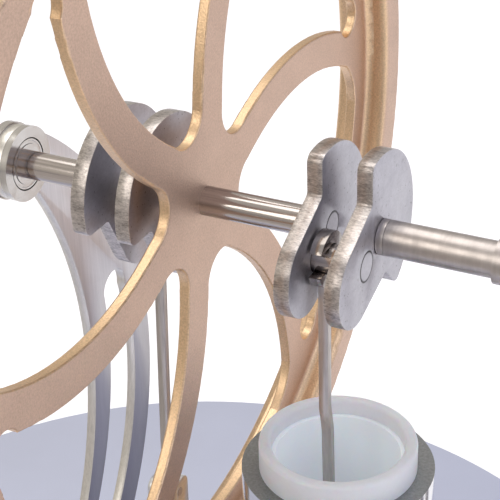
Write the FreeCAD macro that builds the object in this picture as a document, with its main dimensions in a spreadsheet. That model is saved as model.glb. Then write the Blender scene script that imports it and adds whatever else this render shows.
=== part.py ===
"""Low-temperature-difference Stirling engine, gamma layout, as a parametric FreeCAD document.

Frame: +Z up, the crankshaft lies along X, and the origin is the centre of the bottom plate's
underside. The top plate carries two bent sheet supports, the power cylinder and the displacer
gland. The built-up crankshaft has the displacer crank, the flywheel and the power crank in a row.
"""
import FreeCAD
import Part
import Sketcher
import os

Vector = FreeCAD.Vector
Rotation = FreeCAD.Rotation

SIZES = (
    # name, millimetres, degrees or a count, what it is
    ("plate_across", 115.0, "diameter of the bottom and top plates"),
    ("plate_thick", 3.0, "thickness of each plate"),
    ("plate_edge", 0.5, "chamfer round each plate"),
    ("chamber_high", 22.0, "space between the two plates"),
    ("ring_inset", 8.5, "chamber ring in from the plates' edge"),
    ("ring_wall", 3.0, "wall of the chamber ring"),
    ("gasket_thick", 0.8, "flat gaskets above and below the chamber ring"),
    ("clamp_inset", 4.7, "clamping screws in from the plates' edge"),
    ("clamp_count", 6, "clamping screws"),
    ("clamp_turn", 15.0, "angle of the first clamping screw"),
    ("clamp_shank", 3.0, "clamping screw shank diameter"),
    ("clamp_head", 5.6, "clamping screw head diameter"),
    ("clamp_bite", 2.0, "depth of the screw in the top plate"),
    ("hole_play", 0.4, "how much wider a clearance hole is than its screw"),
    ("socket_across", 1.5, "hexagon socket of the small screws, across flats"),
    ("shaft_high", 64.8, "shaft axis above the top plate"),
    ("shaft_across", 3.0, "shaft and crank pin diameter"),
    ("left_support", -15.3, "inner face of the left support"),
    ("right_support", 39.8, "inner face of the right support"),
    ("support_thick", 1.2, "sheet thickness of the supports"),
    ("support_bulge", 22.8, "outer edge of the support, out from the shaft axis"),
    ("inner_bulge", 9.8, "inner edge of the support, out from the shaft axis"),
    ("leg_wide", 3.7, "width of each leg beside the slot"),
    ("foot_long", 26.0, "length of the support's foot along the plate"),
    ("foot_wide", 8.0, "width of the foot on the plate"),
    ("foot_place", 3.5, "middle of the foot, out from the shaft axis"),
    ("foot_rise", 4.0, "height of the upright strip above the plate"),
    ("foot_pitch", 16.0, "distance between the foot's two screws"),
    ("foot_screw", 2.5, "foot screw shank diameter"),
    ("foot_head", 4.5, "foot screw head diameter"),
    ("foot_head_high", 1.8, "foot screw head height"),
    ("bearing_across", 7.0, "bearing outside diameter"),
    ("bearing_wide", 3.0, "bearing width"),
    ("flange_lip", 0.55, "bearing flange beyond the bearing's outside"),
    ("flange_thick", 0.8, "bearing flange thickness"),
    ("race_wall", 0.65, "wall of each bearing ring"),
    ("ball_count", 7, "balls in a bearing"),
    ("groove_deep", 0.15, "depth of the ball groove in each ring"),
    ("ball_play", 0.03, "clearance between the balls and the inner ring"),
    ("retainer_wall", 0.65, "wall of the retaining ring on the bearing"),
    ("retainer_wide", 0.9, "width of the retaining ring"),
    ("flywheel_across", 90.9, "flywheel diameter"),
    ("flywheel_place", 6.5, "front face of the flywheel's web"),
    ("flywheel_web", 1.2, "thickness of the flywheel's web and spokes"),
    ("rim_wide", 6.4, "axial width of the rim"),
    ("rim_deep", 4.15, "radial depth of the rim"),
    ("web_ring", 3.3, "flat ring between the rim and the windows"),
    ("rim_round", 0.9, "rounding inside the rim"),
    ("window_round", 0.2, "rounding round the flywheel's windows"),
    ("spoke_count", 6, "spokes"),
    ("spoke_wide", 4.3, "width of a spoke"),
    ("spoke_turn", 76.3, "angle of the first spoke where it leaves the hub"),
    ("spoke_sweep", 15.0, "how far a spoke bends back by the rim, in degrees"),
    ("hub_flat", 7.4, "radius of the flat hub, where the windows start"),
    ("boss_across", 9.0, "diameter of the boss on the back of the hub"),
    ("boss_thick", 0.9, "height of that boss"),
    ("crank_throw", 3.8, "crank pin distance from the shaft axis"),
    ("crank_thick", 1.6, "thickness of a crank web"),
    ("weight_reach", 8.3, "radius of a web's counterweight"),
    ("waist_half", 4.7, "half width of a web's arm beside the shaft"),
    ("tip_round", 4.3, "radius of the end of a web's arm"),
    ("tip_place", 6.0, "centre of that end, from the shaft axis"),
    ("shoulder_rise", 0.45, "inner end of the counterweight's flat side, toward the pin"),
    ("shoulder_drop", 1.0, "outer end of the flat side, away from the pin"),
    ("corner_round", 1.0, "rounding of the counterweight's two corners"),
    ("power_turn", 203.0, "direction of the power crank pin at rest"),
    ("displacer_turn", 293.0, "direction of the displacer crank pin at rest"),
    ("displacer_crank", -2.4, "inner face of the displacer crank's outer web"),
    ("displacer_gap", 3.4, "space between the displacer crank's webs"),
    ("power_crank", 20.1, "inner face of the power crank's inner web"),
    ("power_gap", 3.4, "space between the power crank's webs"),
    ("sleeve_wall", 0.25, "wall of the spacer sleeve"),
    ("sleeve_place", 0.8, "gap between the outer web and the spacer sleeve"),
    ("collar_wall", 0.7, "wall of the collar beside the right bearing"),
    ("collar_wide", 2.5, "width of that collar"),
    ("shaft_over", 0.4, "shaft end beyond the bearing"),
    ("rod_thick", 0.8, "thickness of the connecting rods' strip"),
    ("rod_wide", 1.0, "width of the strip"),
    ("eye_thick", 1.2, "length of a rod's eye along its pin"),
    ("eye_shift", 0.15, "big eye along its pin, from the rod's strip"),
    ("eye_wall", 1.2, "wall of the big eye"),
    ("pin_play", 0.1, "how much wider a bearing bore is than its pin"),
    ("mouth_wide", 1.8, "opening in the side of the clip-on big eye"),
    ("power_rod_long", 35.0, "power rod, height between its eyes"),
    ("rod_clear", 0.25, "least gap between the power rod's small eye and the liner"),
    ("link_long", 34.0, "displacer link, height between its eyes"),
    ("joggle_drop", 17.0, "start of the bend in a rod, below the big eye"),
    ("joggle_high", 3.0, "height of that bend"),
    ("joggle_shift", 0.5, "sideways shift of that bend"),
    ("wrist_across", 1.0, "wrist pin diameter"),
    ("small_eye_wall", 0.35, "wall of a rod's small eye"),
    ("fork_slot", 1.7, "slot of both forks"),
    ("fork_cheek", 0.75, "thickness of a fork's cheek"),
    ("fork_wide", 3.6, "width of a fork"),
    ("fork_above", 1.6, "cheek above the wrist pin"),
    ("fork_below", 9.2, "depth of the slot below the wrist pin"),
    ("fork_base", 1.4, "solid foot of a fork under its slot"),
    ("cylinder_place", 20.8, "power cylinder axis"),
    ("tube_across", 16.4, "power cylinder tube outside diameter"),
    ("tube_wall", 1.3, "wall of the tube"),
    ("tube_drop", 24.5, "top of the tube below the shaft axis"),
    ("tube_edge", 0.45, "rounding of the tube's mouth"),
    ("liner_wall", 0.45, "wall of the liner"),
    ("liner_drop", 1.7, "liner edge below the tube's mouth"),
    ("jacket_wall", 1.8, "wall of the polished jacket"),
    ("jacket_round", 0.8, "rounding between the jacket and its foot"),
    ("jacket_drop", 3.1, "jacket top below the tube's mouth"),
    ("jacket_rim", 2.8, "jacket's foot beyond its screws' centres"),
    ("jacket_foot", 3.0, "thickness of the jacket's foot"),
    ("jacket_step", 0.15, "gap between a screw head and the jacket's rounding"),
    ("jacket_screws", 3, "screws in the jacket's foot"),
    ("pad_thick", 0.5, "gasket under the jacket"),
    ("port_across", 4.0, "air port under the power cylinder"),
    ("piston_play", 0.08, "radial play of the piston"),
    ("piston_high", 11.0, "height of the piston"),
    ("piston_wall", 1.6, "wall of the piston"),
    ("gland_across", 7.0, "displacer gland outside diameter"),
    ("gland_high", 6.0, "gland above the top plate"),
    ("gland_lip", 1.2, "gland flange beyond the gland's outside"),
    ("gland_gap", 0.2, "gap between the gland flange and the jacket's foot"),
    ("gland_flange_thick", 1.5, "gland flange thickness"),
    ("gland_play", 0.08, "radial play of the displacer rod"),
    ("stem_across", 2.0, "displacer rod diameter"),
    ("displacer_thick", 9.5, "thickness of the displacer"),
    ("displacer_play", 1.5, "gap between the displacer and the chamber ring"),
    ("displacer_lift", 1.8, "displacer above the bottom plate at rest"),
    ("washer_across", 10.0, "washers on the displacer"),
    ("washer_thick", 0.8, "washer thickness"),
    ("nut_flats", 4.0, "displacer nut across flats"),
    ("nut_high", 1.6, "displacer nut height"),
)

doc = FreeCAD.newDocument("StirlingEngine")
sheet = doc.addObject("Spreadsheet::Sheet", "Sizes")
for row, (name, number, note) in enumerate(SIZES, start=1):
    sheet.set(f"A{row}", note)
    sheet.set(f"B{row}", str(number))
    sheet.setAlias(f"B{row}", name)
doc.recompute()


def S(formula):
    """Spell a formula for the document: every word that names a size gets the sheet in front."""
    names = {name for name, _, _ in SIZES}
    words = []
    word = ""
    for letter in str(formula) + " ":
        if letter.isalnum() or letter == "_":
            word += letter
            continue
        words.append(f"Sizes.{word}" if word in names else word)
        words.append(letter)
        word = ""
    return "".join(words).strip()


def value(formula):
    """The number that a formula has now."""
    return float(sheet.evalExpression(S(formula)))


def plus(*terms):
    return "(" + " + ".join(f"({term})" for term in terms) + ")"


def minus(first, *rest):
    return "(" + " - ".join(f"({term})" for term in (first, *rest)) + ")"


def half(formula):
    return f"(({formula}) / 2)"


def polar(radius, angle):
    """A point at a radius and an angle in degrees, as two formulas."""
    return f"(({radius}) * cos({angle}))", f"(({radius}) * sin({angle}))"


TOP_FACE = plus("2 * plate_thick", "chamber_high")
PLATE_UNDER = plus("plate_thick", "chamber_high")
SHAFT_AXIS = plus(TOP_FACE, "shaft_high")
DISPLACER_INNER_WEB = plus("displacer_crank", "displacer_gap")
POWER_OUTER_WEB = plus("power_crank", "power_gap")
POWER_PIN_Y, POWER_PIN_Z = polar("crank_throw", "power_turn")
DISPLACER_PIN_Y, DISPLACER_PIN_Z = polar("crank_throw", "displacer_turn")
TUBE_INNER = minus("tube_across", "2 * tube_wall")
LINER_INNER = minus(TUBE_INNER, "2 * liner_wall")
SMALL_EYE = plus(half(plus("wrist_across", "pin_play")), "small_eye_wall")
POWER_ROD_LEAN = minus(half(LINER_INNER), "crank_throw", SMALL_EYE, "rod_clear")
POWER_WRIST_Y = plus(POWER_PIN_Y, POWER_ROD_LEAN)
POWER_WRIST_Z = minus(plus(SHAFT_AXIS, POWER_PIN_Z), "power_rod_long")
DISPLACER_WRIST_Z = minus(plus(SHAFT_AXIS, DISPLACER_PIN_Z), "link_long")
TUBE_TOP = minus(SHAFT_AXIS, "tube_drop")
RING_ACROSS = minus("plate_across", "2 * ring_inset")
CLAMP_PITCH = minus(half("plate_across"), "clamp_inset")
FLANGE_ACROSS = plus("bearing_across", "2 * flange_lip")
GLAND_FLANGE = plus("gland_across", "2 * gland_lip")
JACKET_ACROSS = plus("tube_across", "2 * jacket_wall")
JACKET_PITCH = plus(half(JACKET_ACROSS), "jacket_round", "jacket_step", half("foot_head"))
JACKET_FLANGE = f"(2 * ({JACKET_PITCH} + jacket_rim))"


# ---------------------------------------------------------------- bodies, sketches and features


def make_body(label, x="0", y="0", z="0", turn=None):
    """An empty body at a place; turn rotates it about the shaft direction."""
    body = doc.addObject("PartDesign::Body", label)
    body.Label = label
    if turn is not None:
        body.Placement = FreeCAD.Placement(Vector(), Rotation(Vector(1, 0, 0), 1.0))
        body.setExpression("Placement.Rotation.Angle", S(turn))
    for axis, formula in zip("xyz", (x, y, z)):
        if formula != "0":
            body.setExpression(f"Placement.Base.{axis}", S(formula))
    return body


def origin_feature(body, role):
    return next(item for item in body.Origin.OriginFeatures if item.Role == role)


def make_sketch(body, name, plane, lift="0"):
    """A sketch on one of the body's own planes, lifted along that plane's normal."""
    sketch = body.newObject("Sketcher::SketchObject", f"{body.Label}_{name}")
    sketch.AttachmentSupport = [(origin_feature(body, plane), "")]
    sketch.MapMode = "FlatFace"
    if lift != "0":
        sketch.setExpression("AttachmentOffset.Base.z", S(lift))
    return sketch


def fix_point(sketch, geometry, point, u, v):
    """Hold a sketch point at two formulas, measured from the sketch's origin."""
    for kind, axis, formula in (("DistanceX", -2, u), ("DistanceY", -1, v)):
        number = value(formula)
        if abs(number) < 1e-9:
            sketch.addConstraint(Sketcher.Constraint("PointOnObject", geometry, point, axis))
        elif number > 0:
            index = sketch.addConstraint(
                Sketcher.Constraint(kind, -1, 1, geometry, point, number)
            )
            sketch.setExpression(f"Constraints[{index}]", S(formula))
        else:
            index = sketch.addConstraint(
                Sketcher.Constraint(kind, geometry, point, -1, 1, -number)
            )
            sketch.setExpression(f"Constraints[{index}]", S(f"-({formula})"))


def add_outline(sketch, steps):
    """A closed outline. Each step is a corner (u, v), or (u, v, mid_u, mid_v) where the edge
    that leaves the corner is an arc through that middle point."""
    corners = [Vector(value(step[0]), value(step[1]), 0) for step in steps]
    first = sketch.GeometryCount
    ends = []  # the sketch's numbers for each edge's start and end point
    for number, step in enumerate(steps):
        start = corners[number]
        end = corners[(number + 1) % len(steps)]
        if len(step) == 2:
            sketch.addGeometry(Part.LineSegment(start, end), False)
            ends.append((1, 2))
            continue
        middle = Vector(value(step[2]), value(step[3]), 0)
        # a sketch keeps its arcs counter-clockwise, so a clockwise edge starts at their end
        if (middle - start).cross(end - middle).z > 0:
            sketch.addGeometry(Part.Arc(start, middle, end), False)
            ends.append((1, 2))
        else:
            sketch.addGeometry(Part.Arc(end, middle, start), False)
            ends.append((2, 1))
    for number in range(len(steps)):
        following = (number + 1) % len(steps)
        sketch.addConstraint(
            Sketcher.Constraint(
                "Coincident",
                first + number, ends[number][1],
                first + following, ends[following][0],
            )
        )
    for number, step in enumerate(steps):
        fix_point(sketch, first + number, ends[number][0], step[0], step[1])
        if len(step) == 4:
            sketch.addGeometry(Part.Point(Vector(value(step[2]), value(step[3]), 0)), True)
            helper = sketch.GeometryCount - 1
            fix_point(sketch, helper, 1, step[2], step[3])
            sketch.addConstraint(
                Sketcher.Constraint("PointOnObject", helper, 1, first + number)
            )


def add_circle(sketch, u, v, across):
    centre = Vector(value(u), value(v), 0)
    sketch.addGeometry(Part.Circle(centre, Vector(0, 0, 1), value(half(across))), False)
    circle = sketch.GeometryCount - 1
    index = sketch.addConstraint(Sketcher.Constraint("Diameter", circle, value(across)))
    sketch.setExpression(f"Constraints[{index}]", S(across))
    fix_point(sketch, circle, 3, u, v)


def add_hexagon(sketch, u, v, flats):
    """A hexagon with two corners on the sketch's horizontal."""
    reach = f"({flats}) / sqrt(3)"
    add_outline(
        sketch,
        [
            tuple(plus(centre, part) for centre, part in zip((u, v), polar(reach, 60 * corner)))
            for corner in range(6)
        ],
    )


def pad(body, sketch, length, both=False, back=False):
    feature = body.newObject("PartDesign::Pad", f"{sketch.Name}_pad")
    feature.Profile = sketch
    feature.setExpression("Length", S(length))
    feature.Midplane = both
    feature.Reversed = back
    sketch.Visibility = False
    return feature


def pocket(body, sketch, depth=None, back=False, both=False):
    """A cut along the sketch's normal: through everything both ways unless depth is given."""
    feature = body.newObject("PartDesign::Pocket", f"{sketch.Name}_pocket")
    feature.Profile = sketch
    feature.Midplane = both
    feature.Reversed = back
    if depth is None:
        feature.Type = "ThroughAll"
        feature.Midplane = True
    else:
        feature.setExpression("Length", S(depth))
    return feature


def revolve(body, sketch, axis):
    feature = body.newObject("PartDesign::Revolution", f"{sketch.Name}_turn")
    feature.Profile = sketch
    feature.ReferenceAxis = (sketch, [axis])
    feature.Angle = 360
    return feature


def turned(label, profile, about="V_Axis", **place):
    """A turned piece. The profile's corners are (radius, height), or (place, radius) when it is
    turned about the shaft direction, its sketch's H_Axis."""
    body = make_body(label, **place)
    sketch = make_sketch(body, "profile", "XZ_Plane")
    add_outline(sketch, profile)
    revolve(body, sketch, about)
    return body


def tube_profile(inner, outer, low, high):
    """Corners of a plain ring turned about the vertical."""
    return [
        (half(inner), low),
        (half(outer), low),
        (half(outer), high),
        (half(inner), high),
    ]


def bar_profile(outer, start, end, inner="0"):
    """Corners of a ring or bar turned about the shaft direction."""
    return [
        (start, half(inner)),
        (end, half(inner)),
        (end, half(outer)),
        (start, half(outer)),
    ]


def pattern(body, feature, count, axis_role="Z_Axis"):
    copies = body.newObject("PartDesign::PolarPattern", f"{feature.Name}_ring")
    copies.Originals = [feature]
    copies.Axis = (origin_feature(body, axis_role), [""])
    copies.Angle = 360
    copies.setExpression("Occurrences", S(count))
    body.Tip = copies
    return copies


def mirror(body, feature, plane_role):
    copies = body.newObject("PartDesign::Mirrored", f"{feature.Name}_mirror")
    copies.Originals = [feature]
    copies.MirrorPlane = (origin_feature(body, plane_role), [""])
    body.Tip = copies
    return copies


def edges_where(body, test):
    """Names of the edges of the body's last feature whose centre, in the body, passes the test."""
    doc.recompute()
    tip = body.Tip
    return [
        f"Edge{number}"
        for number, edge in enumerate(tip.Shape.Edges, start=1)
        if test(edge)
    ]


def dress(body, kind, test, amount):
    """A fillet or chamfer on the edges that pass the test."""
    names = edges_where(body, test)
    if not names:
        raise RuntimeError(f"{body.Label}: no edge to {kind.lower()}")
    base = body.Tip
    feature = body.newObject(f"PartDesign::{kind}", f"{body.Name}_{kind.lower()}")
    feature.Base = (base, names)
    feature.setExpression("Radius" if kind == "Fillet" else "Size", S(amount))
    return feature


def circle_edge(edge, radius=None, along=None, place=None):
    """Whether an edge is a circle of this radius, and lies at this place along X, Y or Z."""
    if not isinstance(edge.Curve, Part.Circle):
        return False
    if radius is not None and abs(edge.Curve.Radius - radius) > 1e-4:
        return False
    return along is None or abs(getattr(edge.Curve.Center, along) - place) < 1e-4


def near(first, second):
    return abs(first - second) < 1e-4


# ---------------------------------------------------------------- displacer chamber


def clamp_holes(body, across, name="clamp_holes", lift="0", depth=None, back=False):
    """The ring of clamping screw holes."""
    sketch = make_sketch(body, name, "XY_Plane", lift)
    add_circle(sketch, *polar(CLAMP_PITCH, "clamp_turn"), across)
    pattern(body, pocket(body, sketch, depth, back), "clamp_count")


def make_bottom_plate():
    body = turned("bottom_plate", tube_profile("0", "plate_across", "0", "plate_thick"))
    clamp_holes(body, plus("clamp_shank", "hole_play"))
    # countersinks, which the screw heads fill level with the underside
    sink = half(minus("clamp_head", "clamp_shank"))
    names = edges_where(
        body,
        lambda edge: circle_edge(
            edge, value(half(plus("clamp_shank", "hole_play"))), "z", 0.0
        ),
    )
    base = body.Tip
    feature = body.newObject("PartDesign::Chamfer", "bottom_plate_sinks")
    feature.Base = (base, names)
    feature.setExpression("Size", S(sink))
    dress(
        body, "Chamfer",
        lambda edge: circle_edge(edge, value(half("plate_across"))), "plate_edge",
    )


def make_chamber():
    ring_inner = minus(RING_ACROSS, "2 * ring_wall")
    levels = (
        ("lower_gasket", "plate_thick", plus("plate_thick", "gasket_thick")),
        ("chamber_ring", plus("plate_thick", "gasket_thick"), minus(PLATE_UNDER, "gasket_thick")),
        ("upper_gasket", minus(PLATE_UNDER, "gasket_thick"), PLATE_UNDER),
    )
    for label, low, high in levels:
        turned(label, tube_profile(ring_inner, RING_ACROSS, low, high))


def make_top_plate():
    body = turned("top_plate", tube_profile("0", "plate_across", PLATE_UNDER, TOP_FACE))
    holes = make_sketch(body, "holes", "XY_Plane")
    add_circle(holes, "0", "0", "gland_across")
    add_circle(holes, "cylinder_place", "0", "port_across")
    pocket(body, holes)
    screw_place = plus("support_thick", half(minus("foot_wide", "support_thick")))
    for side, face, sign in (("left", "left_support", "-"), ("right", "right_support", "")):
        tapped = make_sketch(body, f"{side}_foot_holes", "XY_Plane")
        for end in ("-", ""):
            add_circle(
                tapped,
                plus(face, f"{sign}({screw_place})"),
                plus("foot_place", f"{end}foot_pitch / 2"),
                "foot_screw",
            )
        pocket(body, tapped)
    jacket_holes = make_sketch(body, "jacket_holes", "XY_Plane")
    for number in range(int(value("jacket_screws"))):
        u, v = polar(JACKET_PITCH, f"90 + 360 * {number} / jacket_screws")
        add_circle(jacket_holes, plus("cylinder_place", u), v, "foot_screw")
    pocket(body, jacket_holes)
    clamp_holes(body, "clamp_shank", "clamp_threads", PLATE_UNDER, "clamp_bite", back=True)
    dress(
        body, "Chamfer",
        lambda edge: circle_edge(edge, value(half("plate_across"))), "plate_edge",
    )


def make_clamp_screws():
    """Countersunk screws that come up from below, outside the chamber ring."""
    body = make_body("clamp_screws")
    body.setExpression("Placement.Rotation.Angle", S("clamp_turn"))
    sketch = make_sketch(body, "profile", "XZ_Plane")
    shank = half("clamp_shank")
    head = half(plus("clamp_head", "hole_play"))
    recess = half("socket_across")
    sink = half(minus("clamp_head", "clamp_shank"))
    tip = plus(PLATE_UNDER, "clamp_bite")
    add_outline(
        sketch,
        [
            (CLAMP_PITCH, sink),
            (plus(CLAMP_PITCH, recess), sink),
            (plus(CLAMP_PITCH, recess), "0"),
            (plus(CLAMP_PITCH, head), "0"),
            (plus(CLAMP_PITCH, shank), plus(sink, half("hole_play"))),
            (plus(CLAMP_PITCH, shank), tip),
            (CLAMP_PITCH, tip),
        ],
    )
    sketch.addGeometry(
        Part.LineSegment(
            Vector(value(CLAMP_PITCH), 0, 0), Vector(value(CLAMP_PITCH), value(tip), 0)
        ),
        True,
    )
    screw = revolve(body, sketch, "Axis0")
    pattern(body, screw, "clamp_count")


def make_gland():
    """The bush that guides the displacer's rod through the top plate."""
    bore = half(plus("stem_across", "2 * gland_play"))
    flange_top = plus(TOP_FACE, "gland_flange_thick")
    high = plus(TOP_FACE, "gland_high")
    body = turned(
        "displacer_gland",
        [
            (bore, PLATE_UNDER),
            (half("gland_across"), PLATE_UNDER),
            (half("gland_across"), TOP_FACE),
            (half(GLAND_FLANGE), TOP_FACE),
            (half(GLAND_FLANGE), flange_top),
            (half("gland_across"), flange_top),
            (half("gland_across"), high),
            (bore, high),
        ],
    )
    dress(
        body, "Chamfer",
        lambda edge: circle_edge(edge, value(half("gland_across")), "z", value(high)), "0.4",
    )


# ---------------------------------------------------------------- supports and bearings


def make_support(side, face, outward):
    """A bent sheet support: a crescent with a long slot, an eye for the bearing and a foot that
    turns outward. outward is 1 or -1 along the shaft."""
    body = make_body(f"{side}_support", x=face, z=SHAFT_AXIS)
    eye = half(FLANGE_ACROSS) + " - 0.05"
    foot_top = minus("foot_rise", "shaft_high")
    floor = "-shaft_high"
    crescent = make_sketch(body, "crescent", "YZ_Plane")
    start = polar(eye, -64)
    finish = polar(eye, 38)
    inner_foot = minus("foot_place", half("foot_long"))
    outer_foot = plus("foot_place", half("foot_long"))
    add_outline(
        crescent,
        [
            (*start, "inner_bulge", "-0.39 * shaft_high"),
            (minus("foot_place", "5.5"), foot_top),
            (inner_foot, foot_top),
            (inner_foot, floor),
            (outer_foot, floor),
            (outer_foot, foot_top),
            (plus("foot_place", "9.5"), foot_top, "support_bulge", "-0.52 * shaft_high"),
            (*finish, *polar(eye, 167)),
        ],
    )
    pad(body, crescent, "support_thick", back=outward < 0)
    bore = make_sketch(body, "bore", "YZ_Plane")
    add_circle(bore, "0", "0", "bearing_across")
    pocket(body, bore)
    slot = make_sketch(body, "slot", "YZ_Plane")
    slot_inner = plus("inner_bulge", "leg_wide")
    slot_outer = minus("support_bulge", "leg_wide")
    add_outline(
        slot,
        [
            ("inner_bulge + leg_wide - 0.2", "-0.355 * shaft_high",
             "inner_bulge + leg_wide + 1.9", "-0.325 * shaft_high"),
            ("support_bulge - leg_wide - 1.1", "-0.37 * shaft_high",
             slot_outer, "-0.53 * shaft_high"),
            ("foot_place + 8.0", "4.6 + foot_rise - shaft_high",
             "foot_place + 5.0", "3.2 + foot_rise - shaft_high"),
            ("foot_place + 1.6", "5.4 + foot_rise - shaft_high",
             minus(slot_inner, "0.4"), "-0.56 * shaft_high"),
        ],
    )
    pocket(body, slot)
    foot = make_sketch(body, "foot", "XY_Plane", floor)
    near_side = "0"
    far_side = f"{outward} * foot_wide"
    add_outline(
        foot,
        [
            (near_side, inner_foot),
            (far_side, inner_foot),
            (far_side, outer_foot),
            (near_side, outer_foot),
        ],
    )
    pad(body, foot, "support_thick")
    holes = make_sketch(body, "foot_holes", "XY_Plane", floor)
    middle = plus("support_thick", half(minus("foot_wide", "support_thick")))
    for end in ("-", ""):
        add_circle(
            holes,
            f"{outward} * ({middle})",
            plus("foot_place", f"{end}foot_pitch / 2"),
            plus("foot_screw", "hole_play"),
        )
    pocket(body, holes, "3 * support_thick", both=True)
    inner_bend = value(floor) + value("support_thick")
    bend_face = outward * value("support_thick")

    def in_bend(edge):
        middle_point = edge.BoundBox.Center
        along_y = near(edge.BoundBox.XLength, 0) and near(edge.BoundBox.ZLength, 0)
        return along_y and near(middle_point.x, bend_face) and near(middle_point.z, inner_bend)

    def out_bend(edge):
        middle_point = edge.BoundBox.Center
        along_y = near(edge.BoundBox.XLength, 0) and near(edge.BoundBox.ZLength, 0)
        return along_y and near(middle_point.x, 0) and near(middle_point.z, value(floor))

    dress(body, "Fillet", in_bend, "0.4 * support_thick")
    dress(body, "Fillet", out_bend, "support_thick")
    return body


def make_foot_screws(side, face, outward):
    middle = plus("support_thick", half(minus("foot_wide", "support_thick")))
    body = make_body(
        f"{side}_foot_screws", x=plus(face, f"{outward} * ({middle})"), y="foot_place", z=TOP_FACE
    )
    sketch = make_sketch(body, "profile", "YZ_Plane")
    cap_screw_outline(sketch, half("foot_pitch"), "support_thick", "-plate_thick")
    screw = revolve(body, sketch, "Axis0")
    mirror(body, screw, "XZ_Plane")


def cap_screw_outline(sketch, centre, seat, tip):
    """Half section of a small socket screw, its head on the seat, and its axis as Axis0."""
    shank = plus(centre, half("foot_screw"))
    head = plus(centre, half("foot_head"))
    top = plus(seat, "foot_head_high")
    recess = plus(centre, half("socket_across"))
    add_outline(
        sketch,
        [
            (centre, tip),
            (shank, tip),
            (shank, seat),
            (head, seat),
            (head, minus(top, "0.3")),
            (minus(head, "0.3"), top),
            (recess, top),
            (recess, minus(top, "0.6 * foot_head_high")),
            (centre, minus(top, "0.6 * foot_head_high")),
        ],
    )
    sketch.addGeometry(
        Part.LineSegment(
            Vector(value(centre), value(tip), 0), Vector(value(centre), value(top), 0)
        ),
        True,
    )


RACE_MIDDLE = plus("shaft_across / 4", "bearing_across / 4")
RACE_GAP = minus(half(minus("bearing_across", "shaft_across")), "2 * race_wall")
BALL_ACROSS = plus(RACE_GAP, "2 * groove_deep")


def make_bearing(side, face, outward):
    """A flanged ball bearing with its flange on the inner face of the support."""
    start = f"-{outward} * flange_thick"
    flange_back = "0"
    end = f"{outward} * (bearing_wide - flange_thick)"
    centre = half(plus(start, end))
    groove = half(BALL_ACROSS)
    outer_bore = minus(half("bearing_across"), "race_wall")
    reach = f"sqrt(pow({groove}; 2) - pow({outer_bore} - {RACE_MIDDLE}; 2))"
    inner_face = plus(half("shaft_across"), "race_wall")
    low_reach = f"sqrt(pow({groove}; 2) - pow({RACE_MIDDLE} - {inner_face}; 2))"
    place = {"x": face, "z": SHAFT_AXIS}
    turned(
        f"{side}_bearing_outer",
        [
            (start, outer_bore),
            (start, half(FLANGE_ACROSS)),
            (flange_back, half(FLANGE_ACROSS)),
            (flange_back, half("bearing_across")),
            (end, half("bearing_across")),
            (end, outer_bore),
            (plus(centre, f"{outward} * {reach}"), outer_bore,
             centre, plus(RACE_MIDDLE, groove)),
            (minus(centre, f"{outward} * {reach}"), outer_bore),
        ],
        about="H_Axis", **place,
    )
    turned(
        f"{side}_bearing_inner",
        [
            (start, half("shaft_across")),
            (end, half("shaft_across")),
            (end, inner_face),
            (plus(centre, f"{outward} * {low_reach}"), inner_face,
             centre, minus(RACE_MIDDLE, groove, "ball_play")),
            (minus(centre, f"{outward} * {low_reach}"), inner_face),
            (start, inner_face),
        ],
        about="H_Axis", **place,
    )
    balls = make_body(f"{side}_bearing_balls", x=plus(face, centre), z=SHAFT_AXIS)
    sketch = make_sketch(balls, "profile", "XZ_Plane")
    add_outline(
        sketch,
        [
            ("0", minus(RACE_MIDDLE, groove), groove, RACE_MIDDLE),
            ("0", plus(RACE_MIDDLE, groove)),
        ],
    )
    ball = revolve(balls, sketch, "V_Axis")
    pattern(balls, ball, "ball_count", "X_Axis")
    outer_face = f"{outward} * support_thick"
    turned(
        f"{side}_retainer",
        bar_profile(
            plus("bearing_across", "2 * retainer_wall"), outer_face,
            plus(outer_face, f"{outward} * retainer_wide"), "bearing_across",
        ),
        about="H_Axis", **place,
    )


# ---------------------------------------------------------------- power cylinder


def gland_relief(body):
    """The bite that keeps the jacket's foot and its gasket clear of the displacer gland."""
    sketch = make_sketch(body, "gland_relief", "XY_Plane")
    add_circle(sketch, "-cylinder_place", "0", plus(GLAND_FLANGE, "2 * gland_gap"))
    pocket(body, sketch)


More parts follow.
